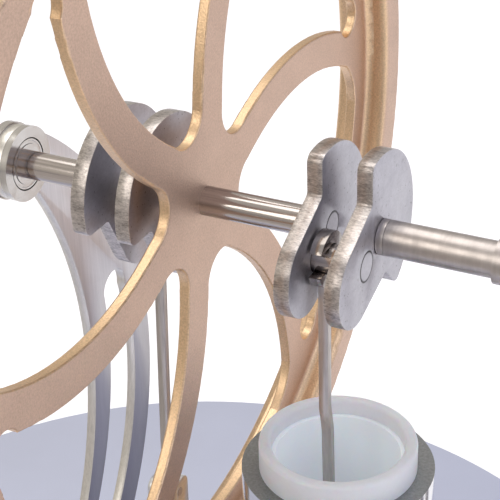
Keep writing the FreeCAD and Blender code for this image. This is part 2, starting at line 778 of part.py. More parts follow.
def make_cylinder():
    place = {"x": "cylinder_place"}
    seat = plus(TOP_FACE, "pad_thick")
    foot_top = plus(seat, "jacket_foot")
    jacket_top = minus(TUBE_TOP, "jacket_drop")
    body = turned(
        "cylinder_jacket",
        [
            (half("tube_across"), seat),
            (half(JACKET_FLANGE), seat),
            (half(JACKET_FLANGE), foot_top),
            (half(JACKET_ACROSS), foot_top),
            (half(JACKET_ACROSS), jacket_top),
            (half("tube_across"), jacket_top),
        ],
        **place,
    )
    holes = make_sketch(body, "holes", "XY_Plane")
    add_circle(holes, "0", JACKET_PITCH, plus("foot_screw", "hole_play"))
    pattern(body, pocket(body, holes), "jacket_screws")
    dress(
        body, "Fillet",
        lambda edge: circle_edge(edge, value(half(JACKET_ACROSS)), "z", value(foot_top)),
        "jacket_round",
    )
    dress(
        body, "Chamfer",
        lambda edge: circle_edge(edge, value(half(JACKET_FLANGE))), "0.4",
    )
    gland_relief(body)
    gasket = turned(
        "cylinder_gasket", tube_profile("tube_across", JACKET_FLANGE, TOP_FACE, seat), **place
    )
    gasket_holes = make_sketch(gasket, "holes", "XY_Plane")
    add_circle(gasket_holes, "0", JACKET_PITCH, plus("foot_screw", "hole_play"))
    pattern(gasket, pocket(gasket, gasket_holes), "jacket_screws")
    gland_relief(gasket)
    tube = turned(
        "cylinder_tube", tube_profile(TUBE_INNER, "tube_across", TOP_FACE, TUBE_TOP), **place
    )
    dress(
        tube, "Fillet",
        lambda edge: circle_edge(edge, None, "z", value(TUBE_TOP)), "tube_edge",
    )
    turned(
        "cylinder_liner",
        tube_profile(LINER_INNER, TUBE_INNER, TOP_FACE, minus(TUBE_TOP, "liner_drop")), **place
    )
    screws = make_body("cylinder_screws", x="cylinder_place", z=seat)
    sketch = make_sketch(screws, "profile", "YZ_Plane")
    cap_screw_outline(sketch, JACKET_PITCH, "jacket_foot", "-pad_thick - plate_thick")
    screw = revolve(screws, sketch, "Axis0")
    pattern(screws, screw, "jacket_screws")


# ---------------------------------------------------------------- crankshaft and flywheel


def make_web(label, start, turn):
    """A crank web cut from plate: a half-round counterweight and an arm with a round end."""
    body = make_body(label, x=start, z=SHAFT_AXIS, turn=f"{turn} - 90")
    sketch = make_sketch(body, "outline", "YZ_Plane")
    flat_end = "sqrt(pow(weight_reach; 2) - pow(shoulder_drop; 2))"
    tip_end = plus("tip_place", "tip_round")
    add_outline(
        sketch,
        [
            ("waist_half", "shoulder_rise"),
            ("tip_round", "tip_place", "0", tip_end),
            ("-tip_round", "tip_place"),
            ("-waist_half", "shoulder_rise"),
            (f"-{flat_end}", "-shoulder_drop", "0", "-weight_reach"),
            (flat_end, "-shoulder_drop"),
        ],
    )
    pad(body, sketch, "crank_thick")
    holes = make_sketch(body, "holes", "YZ_Plane")
    add_circle(holes, "0", "0", "shaft_across")
    add_circle(holes, "0", "crank_throw", "shaft_across")
    pocket(body, holes)
    corner = value(flat_end)
    drop = -value("shoulder_drop")

    def weight_corner(edge):
        centre = edge.BoundBox.Center
        upright = near(edge.BoundBox.YLength, 0) and near(edge.BoundBox.ZLength, 0)
        return upright and near(abs(centre.y), corner) and near(centre.z, drop)

    def waist_corner(edge):
        centre = edge.BoundBox.Center
        upright = near(edge.BoundBox.YLength, 0) and near(edge.BoundBox.ZLength, 0)
        return upright and near(abs(centre.y), value("waist_half"))

    dress(body, "Fillet", weight_corner, "corner_round")
    dress(body, "Fillet", waist_corner, "0.5 * corner_round")
    return body


def make_crankshaft():
    place = {"z": SHAFT_AXIS}
    left_end = minus("left_support", "bearing_wide - flange_thick", "shaft_over")
    right_end = plus("right_support", "bearing_wide - flange_thick", "shaft_over")
    displacer_outer = minus("displacer_crank", "crank_thick")
    power_inner = minus("power_crank", "crank_thick")
    power_end = plus(POWER_OUTER_WEB, "crank_thick")
    shafts = (
        ("left_shaft", left_end, "displacer_crank"),
        ("middle_shaft", DISPLACER_INNER_WEB, "power_crank"),
        ("right_shaft", POWER_OUTER_WEB, right_end),
    )
    for label, start, end in shafts:
        body = turned(label, bar_profile("shaft_across", start, end), about="H_Axis", **place)
        if label != "middle_shaft":
            outer = value(start) if label == "left_shaft" else value(end)
            dress(
                body, "Chamfer", lambda edge, outer=outer: circle_edge(edge, None, "x", outer),
                "0.25",
            )
    webs = (
        ("displacer_outer_web", displacer_outer, "displacer_turn"),
        ("displacer_inner_web", DISPLACER_INNER_WEB, "displacer_turn"),
        ("power_inner_web", power_inner, "power_turn"),
        ("power_outer_web", POWER_OUTER_WEB, "power_turn"),
    )
    for label, start, turn in webs:
        make_web(label, start, turn)
    pins = (
        ("displacer_crankpin", DISPLACER_PIN_Y, DISPLACER_PIN_Z, displacer_outer,
         plus(DISPLACER_INNER_WEB, "crank_thick")),
        ("power_crankpin", POWER_PIN_Y, POWER_PIN_Z, power_inner, power_end),
    )
    for label, y, z, start, end in pins:
        turned(
            label, bar_profile("shaft_across", start, end), about="H_Axis",
            y=y, z=plus(SHAFT_AXIS, z),
        )
    collar_end = minus("right_support", "flange_thick")
    collar_start = minus(collar_end, "collar_wide")
    turned(
        "spacer_sleeve",
        bar_profile(
            plus("shaft_across", "2 * sleeve_wall"), plus(power_end, "sleeve_place"),
            collar_start, "shaft_across",
        ),
        about="H_Axis", **place,
    )
    turned(
        "shaft_collar",
        bar_profile(
            plus("shaft_across", "2 * collar_wall"), collar_start, collar_end, "shaft_across"
        ),
        about="H_Axis", **place,
    )


def spoke_side(radius, shift, side):
    """A point on a spoke's side: its centre line bends back by shift of the whole sweep, and
    the side lies half a spoke's width away, +1 or -1."""
    angle = f"(spoke_turn - ({shift}) * spoke_sweep)"
    spread = f"(asin(spoke_wide / 2 / ({radius})) / 1deg)"
    return polar(radius, f"{angle} + ({side}) * {spread}")


def make_flywheel():
    body = make_body("flywheel", x="flywheel_place", z=SHAFT_AXIS)
    section = make_sketch(body, "section", "XZ_Plane")
    outer = half("flywheel_across")
    rim_inner = minus(outer, "rim_deep")
    front = half(minus("rim_wide", "flywheel_web"))
    back = minus("0", "flywheel_web", front)
    boss_back = minus("0", "flywheel_web", "boss_thick")
    add_outline(
        section,
        [
            ("0", half("shaft_across")),
            ("0", rim_inner),
            (front, rim_inner),
            (front, outer),
            (back, outer),
            (back, rim_inner),
            ("-flywheel_web", rim_inner),
            ("-flywheel_web", half("boss_across")),
            (boss_back, half("boss_across")),
            (boss_back, half("shaft_across")),
        ],
    )
    revolve(body, section, "H_Axis")
    window = make_sketch(body, "window", "YZ_Plane")
    edge = minus(rim_inner, "web_ring")
    pitch = "(360 / spoke_count)"

    def later(radius, shift):
        """The side of the next spoke round, which faces this one across the window."""
        angle = f"(spoke_turn + {pitch} - ({shift}) * spoke_sweep)"
        spread = f"(asin(spoke_wide / 2 / ({radius})) / 1deg)"
        return polar(radius, f"{angle} - {spread}")

    middle = f"(spoke_turn + {pitch} / 2)"
    apex = polar("hub_flat", middle)
    add_outline(
        window,
        [
            (*spoke_side("hub_flat * 1.28", "-0.02", 1), *spoke_side("0.55 * " + edge, "0.02", 1)),
            (*spoke_side("0.9 * " + edge, "0.65", 1.04), *spoke_side("0.98 * " + edge, "0.78", 1.12)),
            (*polar(edge, "spoke_turn - 0.82 * spoke_sweep + 9.0"),
             *polar(edge, f"{middle} - 0.95 * spoke_sweep")),
            (*polar(edge, f"spoke_turn + {pitch} - 1.02 * spoke_sweep - 7.2"),
             *polar(f"0.978 * {edge}", f"spoke_turn + {pitch} - 0.98 * spoke_sweep - 3.6")),
            (*later("0.93 * " + edge, "0.73"), *later("0.6 * " + edge, "0.07")),
            (*later("hub_flat * 1.28", "-0.02"), *apex),
        ],
    )
    pattern(body, pocket(body, window), "spoke_count", "X_Axis")
    doc.recompute()

    def inner_junction(edge):
        return circle_edge(edge, value(rim_inner))

    def window_edge(edge):
        """An edge of a window, on the front or back face of the web."""
        box = edge.BoundBox
        on_face = near(box.XMin, 0) or near(box.XMin, -value("flywheel_web"))
        return on_face and near(box.XLength, 0) and not edge.isClosed()

    dress(body, "Fillet", inner_junction, "rim_round")
    dress(body, "Fillet", lambda edge: circle_edge(edge, value(outer)), "0.5 * rim_round")
    dress(body, "Fillet", window_edge, "window_round")
    return body


# ---------------------------------------------------------------- rods, piston and displacer


def make_rod(label, x, y, z, length, lean, joggle):
    """A strip rod: a clip-on big eye with an open mouth, a joggled shank and a small eye. Its
    own origin is on the crank pin."""
    body = make_body(label, x=x, y=y, z=z)
    bore = plus("shaft_across", "pin_play")
    outer = plus(half(bore), "eye_wall")
    mouth = half("mouth_wide")
    bore_reach = f"sqrt(pow({half(bore)}; 2) - pow({mouth}; 2))"
    outer_reach = f"sqrt(pow({outer}; 2) - pow({mouth}; 2))"
    eye = make_sketch(body, "big_eye", "YZ_Plane", "eye_shift")
    add_outline(
        eye,
        [
            (f"-{outer_reach}", mouth, outer, "0"),
            (f"-{outer_reach}", f"-{mouth}"),
            (f"-{bore_reach}", f"-{mouth}", half(bore), "0"),
            (f"-{bore_reach}", mouth),
        ],
    )
    pad(body, eye, "eye_thick", both=True)
    strip = half("rod_thick")
    start = f"-0.93 * ({outer})"
    bend = "-joggle_drop"
    bend_end = minus(bend, "joggle_high")
    end = plus(minus("0", length), f"0.85 * {SMALL_EYE}")

    def centre(level):
        """Sideways place of the shank's centre line at a level, without the joggle."""
        return f"(-({level}) * ({lean}) / ({length}))"

    upper_shift = f"(-({joggle}))"
    shank = make_sketch(body, "shank", "YZ_Plane")
    stations = (
        (start, "0"),
        (bend, upper_shift),
        (bend_end, "0"),
        (end, "0"),
    )
    right = [(plus(centre(level), shift, strip), level) for level, shift in stations]
    left = [(minus(plus(centre(level), shift), strip), level) for level, shift in stations]
    add_outline(shank, left + right[::-1])
    pad(body, shank, "rod_wide", both=True)
    small = make_sketch(body, "small_eye", "YZ_Plane")
    add_circle(small, lean, f"-({length})", f"2 * {SMALL_EYE}")
    pad(body, small, "rod_thick", both=True)
    hole = make_sketch(body, "small_bore", "YZ_Plane")
    add_circle(hole, lean, f"-({length})", plus("wrist_across", "pin_play"))
    pocket(body, hole)
    return body


def make_fork(label, x, y, z):
    """A deep fork with its slot along Y. Its own origin is on the wrist pin."""
    body = make_body(label, x=x, y=y, z=z)
    profile = make_sketch(body, "cheeks", "XZ_Plane")
    inside = half("fork_slot")
    outside = plus(inside, "fork_cheek")
    low = minus("0", "fork_below")
    base = minus(low, "fork_base")
    add_outline(
        profile,
        [
            (f"-({outside})", base),
            (outside, base),
            (outside, "fork_above"),
            (inside, "fork_above"),
            (inside, low),
            (f"-({inside})", low),
            (f"-({inside})", "fork_above"),
            (f"-({outside})", "fork_above"),
        ],
    )
    pad(body, profile, "fork_wide", both=True)
    holes = make_sketch(body, "pin_hole", "YZ_Plane")
    add_circle(holes, "0", "0", "wrist_across")
    pocket(body, holes)

    def top_corner(edge):
        centre = edge.BoundBox.Center
        across = near(edge.BoundBox.YLength, 0) and near(edge.BoundBox.ZLength, 0)
        return across and near(centre.z, value("fork_above"))

    dress(body, "Fillet", top_corner, "0.75 * fork_above")
    return body


def make_wrist_pin(label, x, y, z):
    """The wrist pin's two ends, in the fork's cheeks."""
    body = make_body(label, x=x, y=y, z=z)
    sketch = make_sketch(body, "profile", "XZ_Plane")
    inside = half("fork_slot")
    outside = plus(inside, "fork_cheek")
    add_outline(sketch, bar_profile("wrist_across", inside, outside))
    stub = revolve(body, sketch, "H_Axis")
    mirror(body, stub, "YZ_Plane")


def make_power_side():
    make_rod(
        "power_rod", "cylinder_place", POWER_PIN_Y, plus(SHAFT_AXIS, POWER_PIN_Z),
        "power_rod_long", POWER_ROD_LEAN, "joggle_shift",
    )
    make_fork("piston_fork", "cylinder_place", POWER_WRIST_Y, POWER_WRIST_Z)
    make_wrist_pin("piston_pin", "cylinder_place", POWER_WRIST_Y, POWER_WRIST_Z)
    crown = minus(POWER_WRIST_Z, "fork_below", "fork_base")
    radius = minus(half(LINER_INNER), "piston_play")
    skirt = minus(radius, "piston_wall")
    low = minus(crown, "piston_high")
    body = turned(
        "power_piston",
        [
            ("0", crown),
            ("0", minus(crown, "1.5 * piston_wall")),
            (skirt, minus(crown, "1.5 * piston_wall")),
            (skirt, low),
            (radius, low),
            (radius, crown),
        ],
        x="cylinder_place",
    )
    dress(
        body, "Chamfer",
        lambda edge: circle_edge(edge, value(radius)), "0.3",
    )


def make_displacer_side():
    make_rod(
        "displacer_link", "0", DISPLACER_PIN_Y, plus(SHAFT_AXIS, DISPLACER_PIN_Z),
        "link_long", minus("0", DISPLACER_PIN_Y), "0",
    )
    make_fork("displacer_fork", "0", "0", DISPLACER_WRIST_Z)
    make_wrist_pin("displacer_pin", "0", "0", DISPLACER_WRIST_Z)
    stem_top = minus(DISPLACER_WRIST_Z, "fork_below", "fork_base")
    low = plus("plate_thick", "displacer_lift")
    washer_low = plus(low, "displacer_thick")
    nut_low = plus(washer_low, "washer_thick")
    radius = minus(half(RING_ACROSS), "ring_wall", "displacer_play")
    turned(
        "displacer_disc",
        [
            (half("stem_across"), low),
            (radius, low),
            (radius, washer_low),
            (half("stem_across"), washer_low),
        ],
    )
    turned(
        "displacer_stem",
        [("0", low), (half("stem_across"), low), (half("stem_across"), stem_top), ("0", stem_top)],
    )
    turned(
        "displacer_washer", tube_profile("stem_across", "washer_across", washer_low, nut_low)
    )
    nut = make_body("displacer_nut", z=nut_low)
    sketch = make_sketch(nut, "outline", "XY_Plane")
    add_hexagon(sketch, "0", "0", "nut_flats")
    add_circle(sketch, "0", "0", "stem_across")
    pad(nut, sketch, "nut_high")


# ---------------------------------------------------------------- build, check and write

make_bottom_plate()
make_chamber()
make_top_plate()
make_clamp_screws()
make_gland()
for side, face, outward in (("left", "left_support", -1), ("right", "right_support", 1)):
    make_support(side, face, outward)
    make_foot_screws(side, face, outward)
    make_bearing(side, face, outward)
make_cylinder()
make_crankshaft()
make_flywheel()
make_power_side()
make_displacer_side()
doc.recompute()

for item in doc.Objects:
    if "Invalid" in item.State or "Error" in item.State:
        raise RuntimeError(f"{item.Label} failed: {item.State}")
pieces = [item for item in doc.Objects if item.TypeId == "PartDesign::Body"]
for piece in pieces:
    if piece.Shape.isNull() or not piece.Shape.isValid() or not piece.Shape.Solids:
        raise RuntimeError(f"{piece.Label} has no valid solid")
os.makedirs("parts", exist_ok=True)
for piece in pieces:
    piece.Shape.exportStep(f"parts/{piece.Label}.step")
print(len(pieces), "pieces written")
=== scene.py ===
"""Stirling engine model: finishes, fine detail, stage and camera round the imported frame.

Lengths are in metres. The shaft lies along X, the plates across Z.
"""
from math import cos, pi, radians, sin, tau

import bpy
import mathutils
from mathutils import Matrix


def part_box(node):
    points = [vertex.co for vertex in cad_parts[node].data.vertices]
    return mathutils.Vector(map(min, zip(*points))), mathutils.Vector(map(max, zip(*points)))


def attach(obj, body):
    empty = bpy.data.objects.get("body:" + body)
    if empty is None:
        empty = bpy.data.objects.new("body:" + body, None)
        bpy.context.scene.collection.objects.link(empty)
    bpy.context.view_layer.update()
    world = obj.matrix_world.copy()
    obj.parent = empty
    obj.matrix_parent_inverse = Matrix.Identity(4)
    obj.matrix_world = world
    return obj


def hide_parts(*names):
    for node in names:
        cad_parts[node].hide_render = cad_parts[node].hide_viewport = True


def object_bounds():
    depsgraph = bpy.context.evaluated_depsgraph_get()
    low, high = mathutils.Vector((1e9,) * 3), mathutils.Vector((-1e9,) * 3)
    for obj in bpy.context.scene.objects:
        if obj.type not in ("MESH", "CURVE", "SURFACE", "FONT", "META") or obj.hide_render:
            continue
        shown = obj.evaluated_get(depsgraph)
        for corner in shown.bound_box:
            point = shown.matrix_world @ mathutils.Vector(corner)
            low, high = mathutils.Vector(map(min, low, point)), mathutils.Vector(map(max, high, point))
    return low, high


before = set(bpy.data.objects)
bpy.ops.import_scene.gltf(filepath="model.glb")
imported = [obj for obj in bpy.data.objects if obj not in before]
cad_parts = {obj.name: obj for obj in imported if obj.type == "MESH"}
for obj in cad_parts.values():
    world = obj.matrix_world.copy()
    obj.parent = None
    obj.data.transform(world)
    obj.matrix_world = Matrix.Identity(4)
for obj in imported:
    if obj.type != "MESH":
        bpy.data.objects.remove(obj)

bl_info = {
    "name": "Stirling Engine Finish",
    "version": (1, 0, 0),
    "blender": (4, 5, 0),
    "location": "View3D > Sidebar > Engine",
    "description": "Finishes, screws, bearing shields and stage for the engine model",
    "category": "Object",
}

Vector = mathutils.Vector
CAD_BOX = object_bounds()
MM = 0.001
RIBS = 24
RIB_DEPTH = 0.972
SMOOTH_ANGLE = radians(30)
EDGE_ANGLE = radians(50)
UPRIGHT_X = (0, pi / 2, 0)


def middle(node):
    """Centre of a CAD node's box."""
    low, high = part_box(node)
    return (low + high) / 2


SHAFT = middle("middle_shaft")
POWER_PIN = middle("power_crankpin")
DISPLACER_PIN = middle("displacer_crankpin")
CYLINDER = middle("cylinder_tube")
PIN_RADIUS = (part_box("power_crankpin")[1].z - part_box("power_crankpin")[0].z) / 2


# ---------------------------------------------------------------- sizes and colours


def length(name, default, description):
    return bpy.props.FloatProperty(
        name=name, default=default, min=0.0, description=description,
        unit="LENGTH", subtype="DISTANCE", precision=5,
    )


def colour(name, default, description):
    return bpy.props.FloatVectorProperty(
        name=name, default=default, min=0.0, max=1.0, size=3, description=description,
        subtype="COLOR",
    )


class EngineSizes(bpy.types.PropertyGroup):
    """Sizes of the small detail."""

    cap_break: length("Cap edge", 0.09 * MM, "Bevel on the screws' edges")
    web_break: length("Web edge", 0.10 * MM, "Bevel on the crank webs' edges")
    sheet_break: length("Sheet edge", 0.14 * MM, "Bevel on the supports' edges")
    rod_break: length("Rod edge", 0.09 * MM, "Bevel on the connecting rods' edges")
    socket_depth: length("Socket depth", 1.0 * MM, "Depth of the screws' hexagon sockets")
    cap_high: length("Cap height", 1.8 * MM, "Height of the screws' heads")
    shank_across: length("Shank", 2.4 * MM, "Diameter of the screws' shanks")
    socket_across: length("Socket", 2.0 * MM, "Hexagon socket across its flats")
    washer_gap: length("Washer gap", 0.02 * MM, "Gap round the thrust washer")
    shield_thick: length("Shield", 0.12 * MM, "Thickness of the bearing shields")
    shield_inset: length("Shield inset", 0.17 * MM, "Shield's rim inside the ball circle")
    shield_deep: length("Shield depth", 0.10 * MM, "Shield below the bearing's face")
    shield_step: length("Shield step", 0.05 * MM, "Height of the shield's pressed step")
    shield_gap: length("Shield gap", 0.03 * MM, "Gap between a shield and the inner ring")


class EngineColours(bpy.types.PropertyGroup):
    """Base colours of the finishes."""

    gold: colour("Gold", (0.67, 0.485, 0.375), "Flywheel faces")
    gold_edge: colour("Gold edge", (0.80, 0.57, 0.36), "Flywheel's cut edges and rim")
    steel: colour("Steel", (0.50, 0.455, 0.43), "Ground and turned steel")
    web: colour("Web", (0.55, 0.54, 0.58), "Crank web faces")
    sheet: colour("Sheet", (0.68, 0.66, 0.68), "Support faces")
    plate: colour("Plate", (0.64, 0.68, 0.85), "Anodised plates")
    sheet_edge: colour("Sheet edge", (0.70, 0.67, 0.62), "Cut edge of the supports")
    # Painted shade: the supports' faces are painted towards this colour near their feet.
    sheet_foot_shade: colour("Sheet foot", (0.24, 0.22, 0.225), "Duller tone near the feet")
    bearing: colour("Bearing", (0.60, 0.58, 0.56), "Bearing steel")
    screw: colour("Screws", (0.55, 0.54, 0.53), "Screw steel")
    rod: colour("Rods", (0.50, 0.46, 0.43), "Connecting rods' strip")
    # Darker tone given to the rods' eyes round their pins.
    eye: colour("Rod eyes", (0.40, 0.36, 0.33), "Burnished eyes of the rods")
    fork: colour("Forks", (0.72, 0.72, 0.72), "Milled forks")
    stem: colour("Stem", (0.66, 0.65, 0.63), "Displacer's stem")
    bronze: colour("Bronze", (0.62, 0.42, 0.20), "Displacer's gland")
    foam: colour("Foam", (0.72, 0.72, 0.69), "Displacer's disc")
    rubber: colour("Rubber", (0.03, 0.03, 0.032), "Gaskets")
    graphite: colour("Graphite", (0.05, 0.05, 0.053), "Power piston")
    acrylic: colour("Acrylic", (0.95, 0.97, 0.98), "Clear chamber ring")
    barrel: colour("Barrel", (0.80, 0.80, 0.82), "Polished cylinder jacket")
    tube: colour("Tube", (0.89, 0.905, 0.93), "Frosted cylinder tube")
    jacket_top: colour("Jacket top", (0.29, 0.30, 0.30), "Blasted end of the cylinder jacket")


class StageSettings(bpy.types.PropertyGroup):
    """Floor, light and camera."""

    azimuth: bpy.props.FloatProperty(
        name="Azimuth", default=radians(27.27), unit="ROTATION", subtype="ANGLE",
        description="Camera direction round the engine; 0 looks along +Y",
    )
    elevation: bpy.props.FloatProperty(
        name="Elevation", default=radians(28.56), unit="ROTATION", subtype="ANGLE",
        description="Camera direction above the horizon",
    )
    roll: bpy.props.FloatProperty(
        name="Roll", default=radians(-1.60), unit="ROTATION", subtype="ANGLE",
        description="Camera turn about its own view",
    )
    distance: length("Distance", 147.05 * MM, "Camera distance from its aim")
    aim_along: length("Aim along shaft", 11.23 * MM, "Aim point along the shaft")
    aim_drop: length("Aim drop", 4.53 * MM, "Aim point below the shaft axis")
    lens: bpy.props.FloatProperty(
        name="Lens", default=107.08, min=10.0, unit="CAMERA", description="Focal length"
    )
    floor_width: length("Floor", 6.0, "Width of the pale floor")
    floor_colour: colour("Floor colour", (0.93, 0.93, 0.94), "Pale floor")


# ---------------------------------------------------------------- node helpers


class Wires:
    """Adds nodes to a tree; values that are sockets are linked, others are set."""

    def __init__(self, tree):
        self.tree = tree

    def add(self, kind, inputs=None, **settings):
        """A new node with its inputs given and its properties set."""
        node = self.tree.nodes.new(kind)
        for name, setting in settings.items():
            setattr(node, name, setting)
        for name, given in (inputs or {}).items():
            self.give(node.inputs[name], given)
        return node

    def give(self, socket, given):
        """Link a socket to a socket, or set it to a number, vector or colour."""
        if isinstance(given, bpy.types.NodeSocket):
            self.tree.links.new(given, socket)
        elif isinstance(given, tuple) and len(given) == 3 and socket.type == "RGBA":
            socket.default_value = (*given, 1.0)
        else:
            socket.default_value = given

    def math(self, operation, first, second=0.0, third=0.0, clamp=False):
        node = self.add("ShaderNodeMath", {0: first, 1: second, 2: third}, operation=operation)
        node.use_clamp = clamp
        return node.outputs[0]

    def vector(self, operation, first, second=(0.0, 0.0, 0.0)):
        node = self.add("ShaderNodeVectorMath", {0: first, 1: second}, operation=operation)
        return node.outputs["Value" if operation in ("LENGTH", "DOT_PRODUCT") else "Vector"]

    def noise(self, vector, scale, detail=2.0, roughness=0.5):
        node = self.add(
            "ShaderNodeTexNoise",
            {"Vector": vector, "Scale": scale, "Detail": detail, "Roughness": roughness},
        )
        return node.outputs["Fac"]

    def span(self, value, low, high, to_low=0.0, to_high=1.0):
        """A value's range stretched to another, and clamped to it."""
        node = self.add(
            "ShaderNodeMapRange",
            {"Value": value, "From Min": low, "From Max": high,
             "To Min": to_low, "To Max": to_high},
        )
        return node.outputs["Result"]

    def blend(self, factor, first, second, blend_type="MIX"):
        """Two colours mixed; the node's colour sockets share names and go by place."""
        node = self.add("ShaderNodeMix", data_type="RGBA", blend_type=blend_type)
        self.give(node.inputs[0], factor)
        self.give(node.inputs[6], first)
        self.give(node.inputs[7], second)
        return node.outputs[2]


def new_group(name, inputs, outputs):
    """An empty shader group with named sockets; returns it with its inner wires and ends."""
    group = bpy.data.node_groups.new(name, "ShaderNodeTree")
    for label, kind, default in inputs:
        socket = group.interface.new_socket(label, in_out="INPUT", socket_type=kind)
        if default is not None:
            socket.default_value = default
    for label, kind in outputs:
        group.interface.new_socket(label, in_out="OUTPUT", socket_type=kind)
    wires = Wires(group)
    source = wires.add("NodeGroupInput")
    sink = wires.add("NodeGroupOutput")
    return group, wires, source.outputs, sink.inputs


FLOAT, VECTOR = "NodeSocketFloat", "NodeSocketVector"
# Painted shade in the gap round a flush pin's end.
PIN_GAP_SHADE = (0.012, 0.010, 0.009)
# Painted highlight along the broken edges of the crank webs.
BREAK_HIGHLIGHT = (0.86, 0.82, 0.79)
PIT = (0.12, 0.11, 0.11)


def blast_group():
    """Bead-blasted skin: a fine even grain, sparkle in its tone and faint clouds."""
    group, wires, given, out = new_group(
        "Blasted Skin",
        [("Vector", VECTOR, None), ("Scale", FLOAT, 5200.0)],
        [("Height", FLOAT), ("Tone", FLOAT)],
    )
    fine = wires.noise(given["Vector"], given["Scale"], 3.0, 0.6)
    coarse = wires.noise(given["Vector"], wires.math("MULTIPLY", given["Scale"], 0.04), 2.0)
    sparkle = wires.span(fine, 0.3, 0.72)
    wires.give(out["Height"], fine)
    wires.give(
        out["Tone"],
        wires.math("MULTIPLY_ADD", sparkle, 0.6, wires.math("MULTIPLY", coarse, 0.4)),
    )
    return group


def lines_group():
    """Fine parallel lines; Stretch squeezes the pattern along each axis."""
    group, wires, given, out = new_group(
        "Tool Lines",
        [("Vector", VECTOR, None), ("Stretch", VECTOR, (1.0, 1.0, 1.0)),
         ("Scale", FLOAT, 3000.0)],
        [("Height", FLOAT), ("Tone", FLOAT)],
    )
    squeezed = wires.vector("MULTIPLY", given["Vector"], given["Stretch"])
    fine = wires.noise(squeezed, given["Scale"], 4.0, 0.65)
    wide = wires.noise(squeezed, wires.math("MULTIPLY", given["Scale"], 0.23), 2.0)
    both = wires.math(
        "ADD", wires.math("MULTIPLY", fine, 0.65), wires.math("MULTIPLY", wide, 0.35)
    )
    wires.give(out["Height"], both)
    wires.give(out["Tone"], wires.span(both, 0.36, 0.64))
    return group


def facing_group():
    """How far a surface faces along an axis, either way: 1 on the flat faces, 0 on their edges."""
    group, wires, given, out = new_group(
        "Flat Faces",
        [("Normal", VECTOR, None), ("Axis", VECTOR, (1.0, 0.0, 0.0))],
        [("Mask", FLOAT), ("Break", FLOAT)],
    )
    along = wires.math("ABSOLUTE", wires.vector("DOT_PRODUCT", given["Normal"], given["Axis"]))
    wires.give(out["Mask"], wires.span(along, 0.75, 0.97))
    rise = wires.span(along, 0.12, 0.45)
    fall = wires.span(along, 0.80, 0.98, 1.0, 0.0)
    wires.give(out["Break"], wires.math("MULTIPLY", rise, fall))
    return group


def ring_group():
    """A thin dark ring about a line along X, where a pin's end lies flush in its hole: painted shade
    of the gap between them.
    """
    group, wires, given, out = new_group(
        "Flush Pin Ring",
        [("Vector", VECTOR, None), ("Centre", VECTOR, None), ("Radius", FLOAT, 0.0015),
         ("Width", FLOAT, 0.00010)],
        [("Mask", FLOAT)],
    )
    offset = wires.vector(
        "MULTIPLY", wires.vector("SUBTRACT", given["Vector"], given["Centre"]), (0.0, 1.0, 1.0)
    )
    away = wires.math(
        "ABSOLUTE", wires.math("SUBTRACT", wires.vector("LENGTH", offset), given["Radius"])
    )
    share = wires.math("DIVIDE", away, given["Width"])
    wires.give(out["Mask"], wires.math("SUBTRACT", 1.0, share, clamp=True))
    return group


def wear_group():
    """Soft stains and small pits for handled metal."""
    group, wires, given, out = new_group(
        "Handling",
        [("Vector", VECTOR, None), ("Scale", FLOAT, 260.0)],
        [("Stain", FLOAT), ("Pits", FLOAT)],
    )
    stains = wires.noise(given["Vector"], given["Scale"], 4.0, 0.62)
    wires.give(out["Stain"], wires.span(stains, 0.42, 0.7))
    pits = wires.noise(given["Vector"], wires.math("MULTIPLY", given["Scale"], 9.0), 1.0)
    wires.give(out["Pits"], wires.span(pits, 0.70, 0.76))
    return group


class Finish:
    """One material on its way: its wires, the shared groups and the Principled shader."""

    groups = {}

    def __init__(self, name, **plain):
        self.material = bpy.data.materials.new(name)
        self.material.use_nodes = True
        tree = self.material.node_tree
        tree.nodes.clear()
        self.wires = Wires(tree)
        self.shader = self.wires.add("ShaderNodeBsdfPrincipled")
        output = self.wires.add("ShaderNodeOutputMaterial")
        tree.links.new(self.shader.outputs[0], output.inputs[0])
        place = self.wires.add("ShaderNodeTexCoord")
        self.place = place.outputs["Object"]
        self.normal = place.outputs["Normal"]
        for socket, number in plain.items():
            self.set(socket.replace("_", " ").title().replace("Ior", "IOR"), number)

    def set(self, socket, given):
        """Link or set one of the shader's sockets."""
        self.wires.give(self.shader.inputs[socket], given)

    def group(self, maker, **inputs):
        """A shared group, built at its first use, placed with this material's values."""
        tree = Finish.groups.get(maker)
        if tree is None:
            tree = Finish.groups[maker] = maker()
        node = self.wires.add("ShaderNodeGroup", node_tree=tree)
        for name, given in inputs.items():
            self.wires.give(node.inputs[name.title()], given)
        return node.outputs

    def bump(self, height, distance, strength=1.0):
        """Feed a height to the shader's normal."""
        node = self.wires.add(
            "ShaderNodeBump", {"Height": height, "Strength": strength, "Distance": distance}
        )
        self.set("Normal", node.outputs["Normal"])

    def shades(self, factor, base, low, high):
        """The base colour from low to high times its brightness."""
        dark, light = (tuple(channel * gain for channel in base) for gain in (low, high))
        return self.wires.blend(factor, dark, light)


# ---------------------------------------------------------------- finishes


def gold_finish(colours):
    """Champagne bead-blasted anodising, brighter and warmer on its cut edges."""
    finish = Finish("champagne_gold", metallic=1.0)
    skin = finish.group(blast_group, vector=finish.place)
    flat = finish.group(facing_group, normal=finish.normal)["Mask"]
    stain = finish.group(wear_group, vector=finish.place, scale=120.0)["Stain"]
    face = finish.shades(skin["Tone"], tuple(colours.gold), 0.76, 1.14)
    edge = finish.shades(skin["Tone"], tuple(colours.gold_edge), 0.72, 1.2)
    finish.set("Base Color", finish.wires.blend(flat, edge, face))
    rough = finish.wires.math("MULTIPLY_ADD", flat, 0.10, 0.36)
    finish.set("Roughness", finish.wires.math("MULTIPLY_ADD", stain, 0.05, rough))
    finish.bump(skin["Height"], 0.04 * MM, 0.9)
    return finish.material


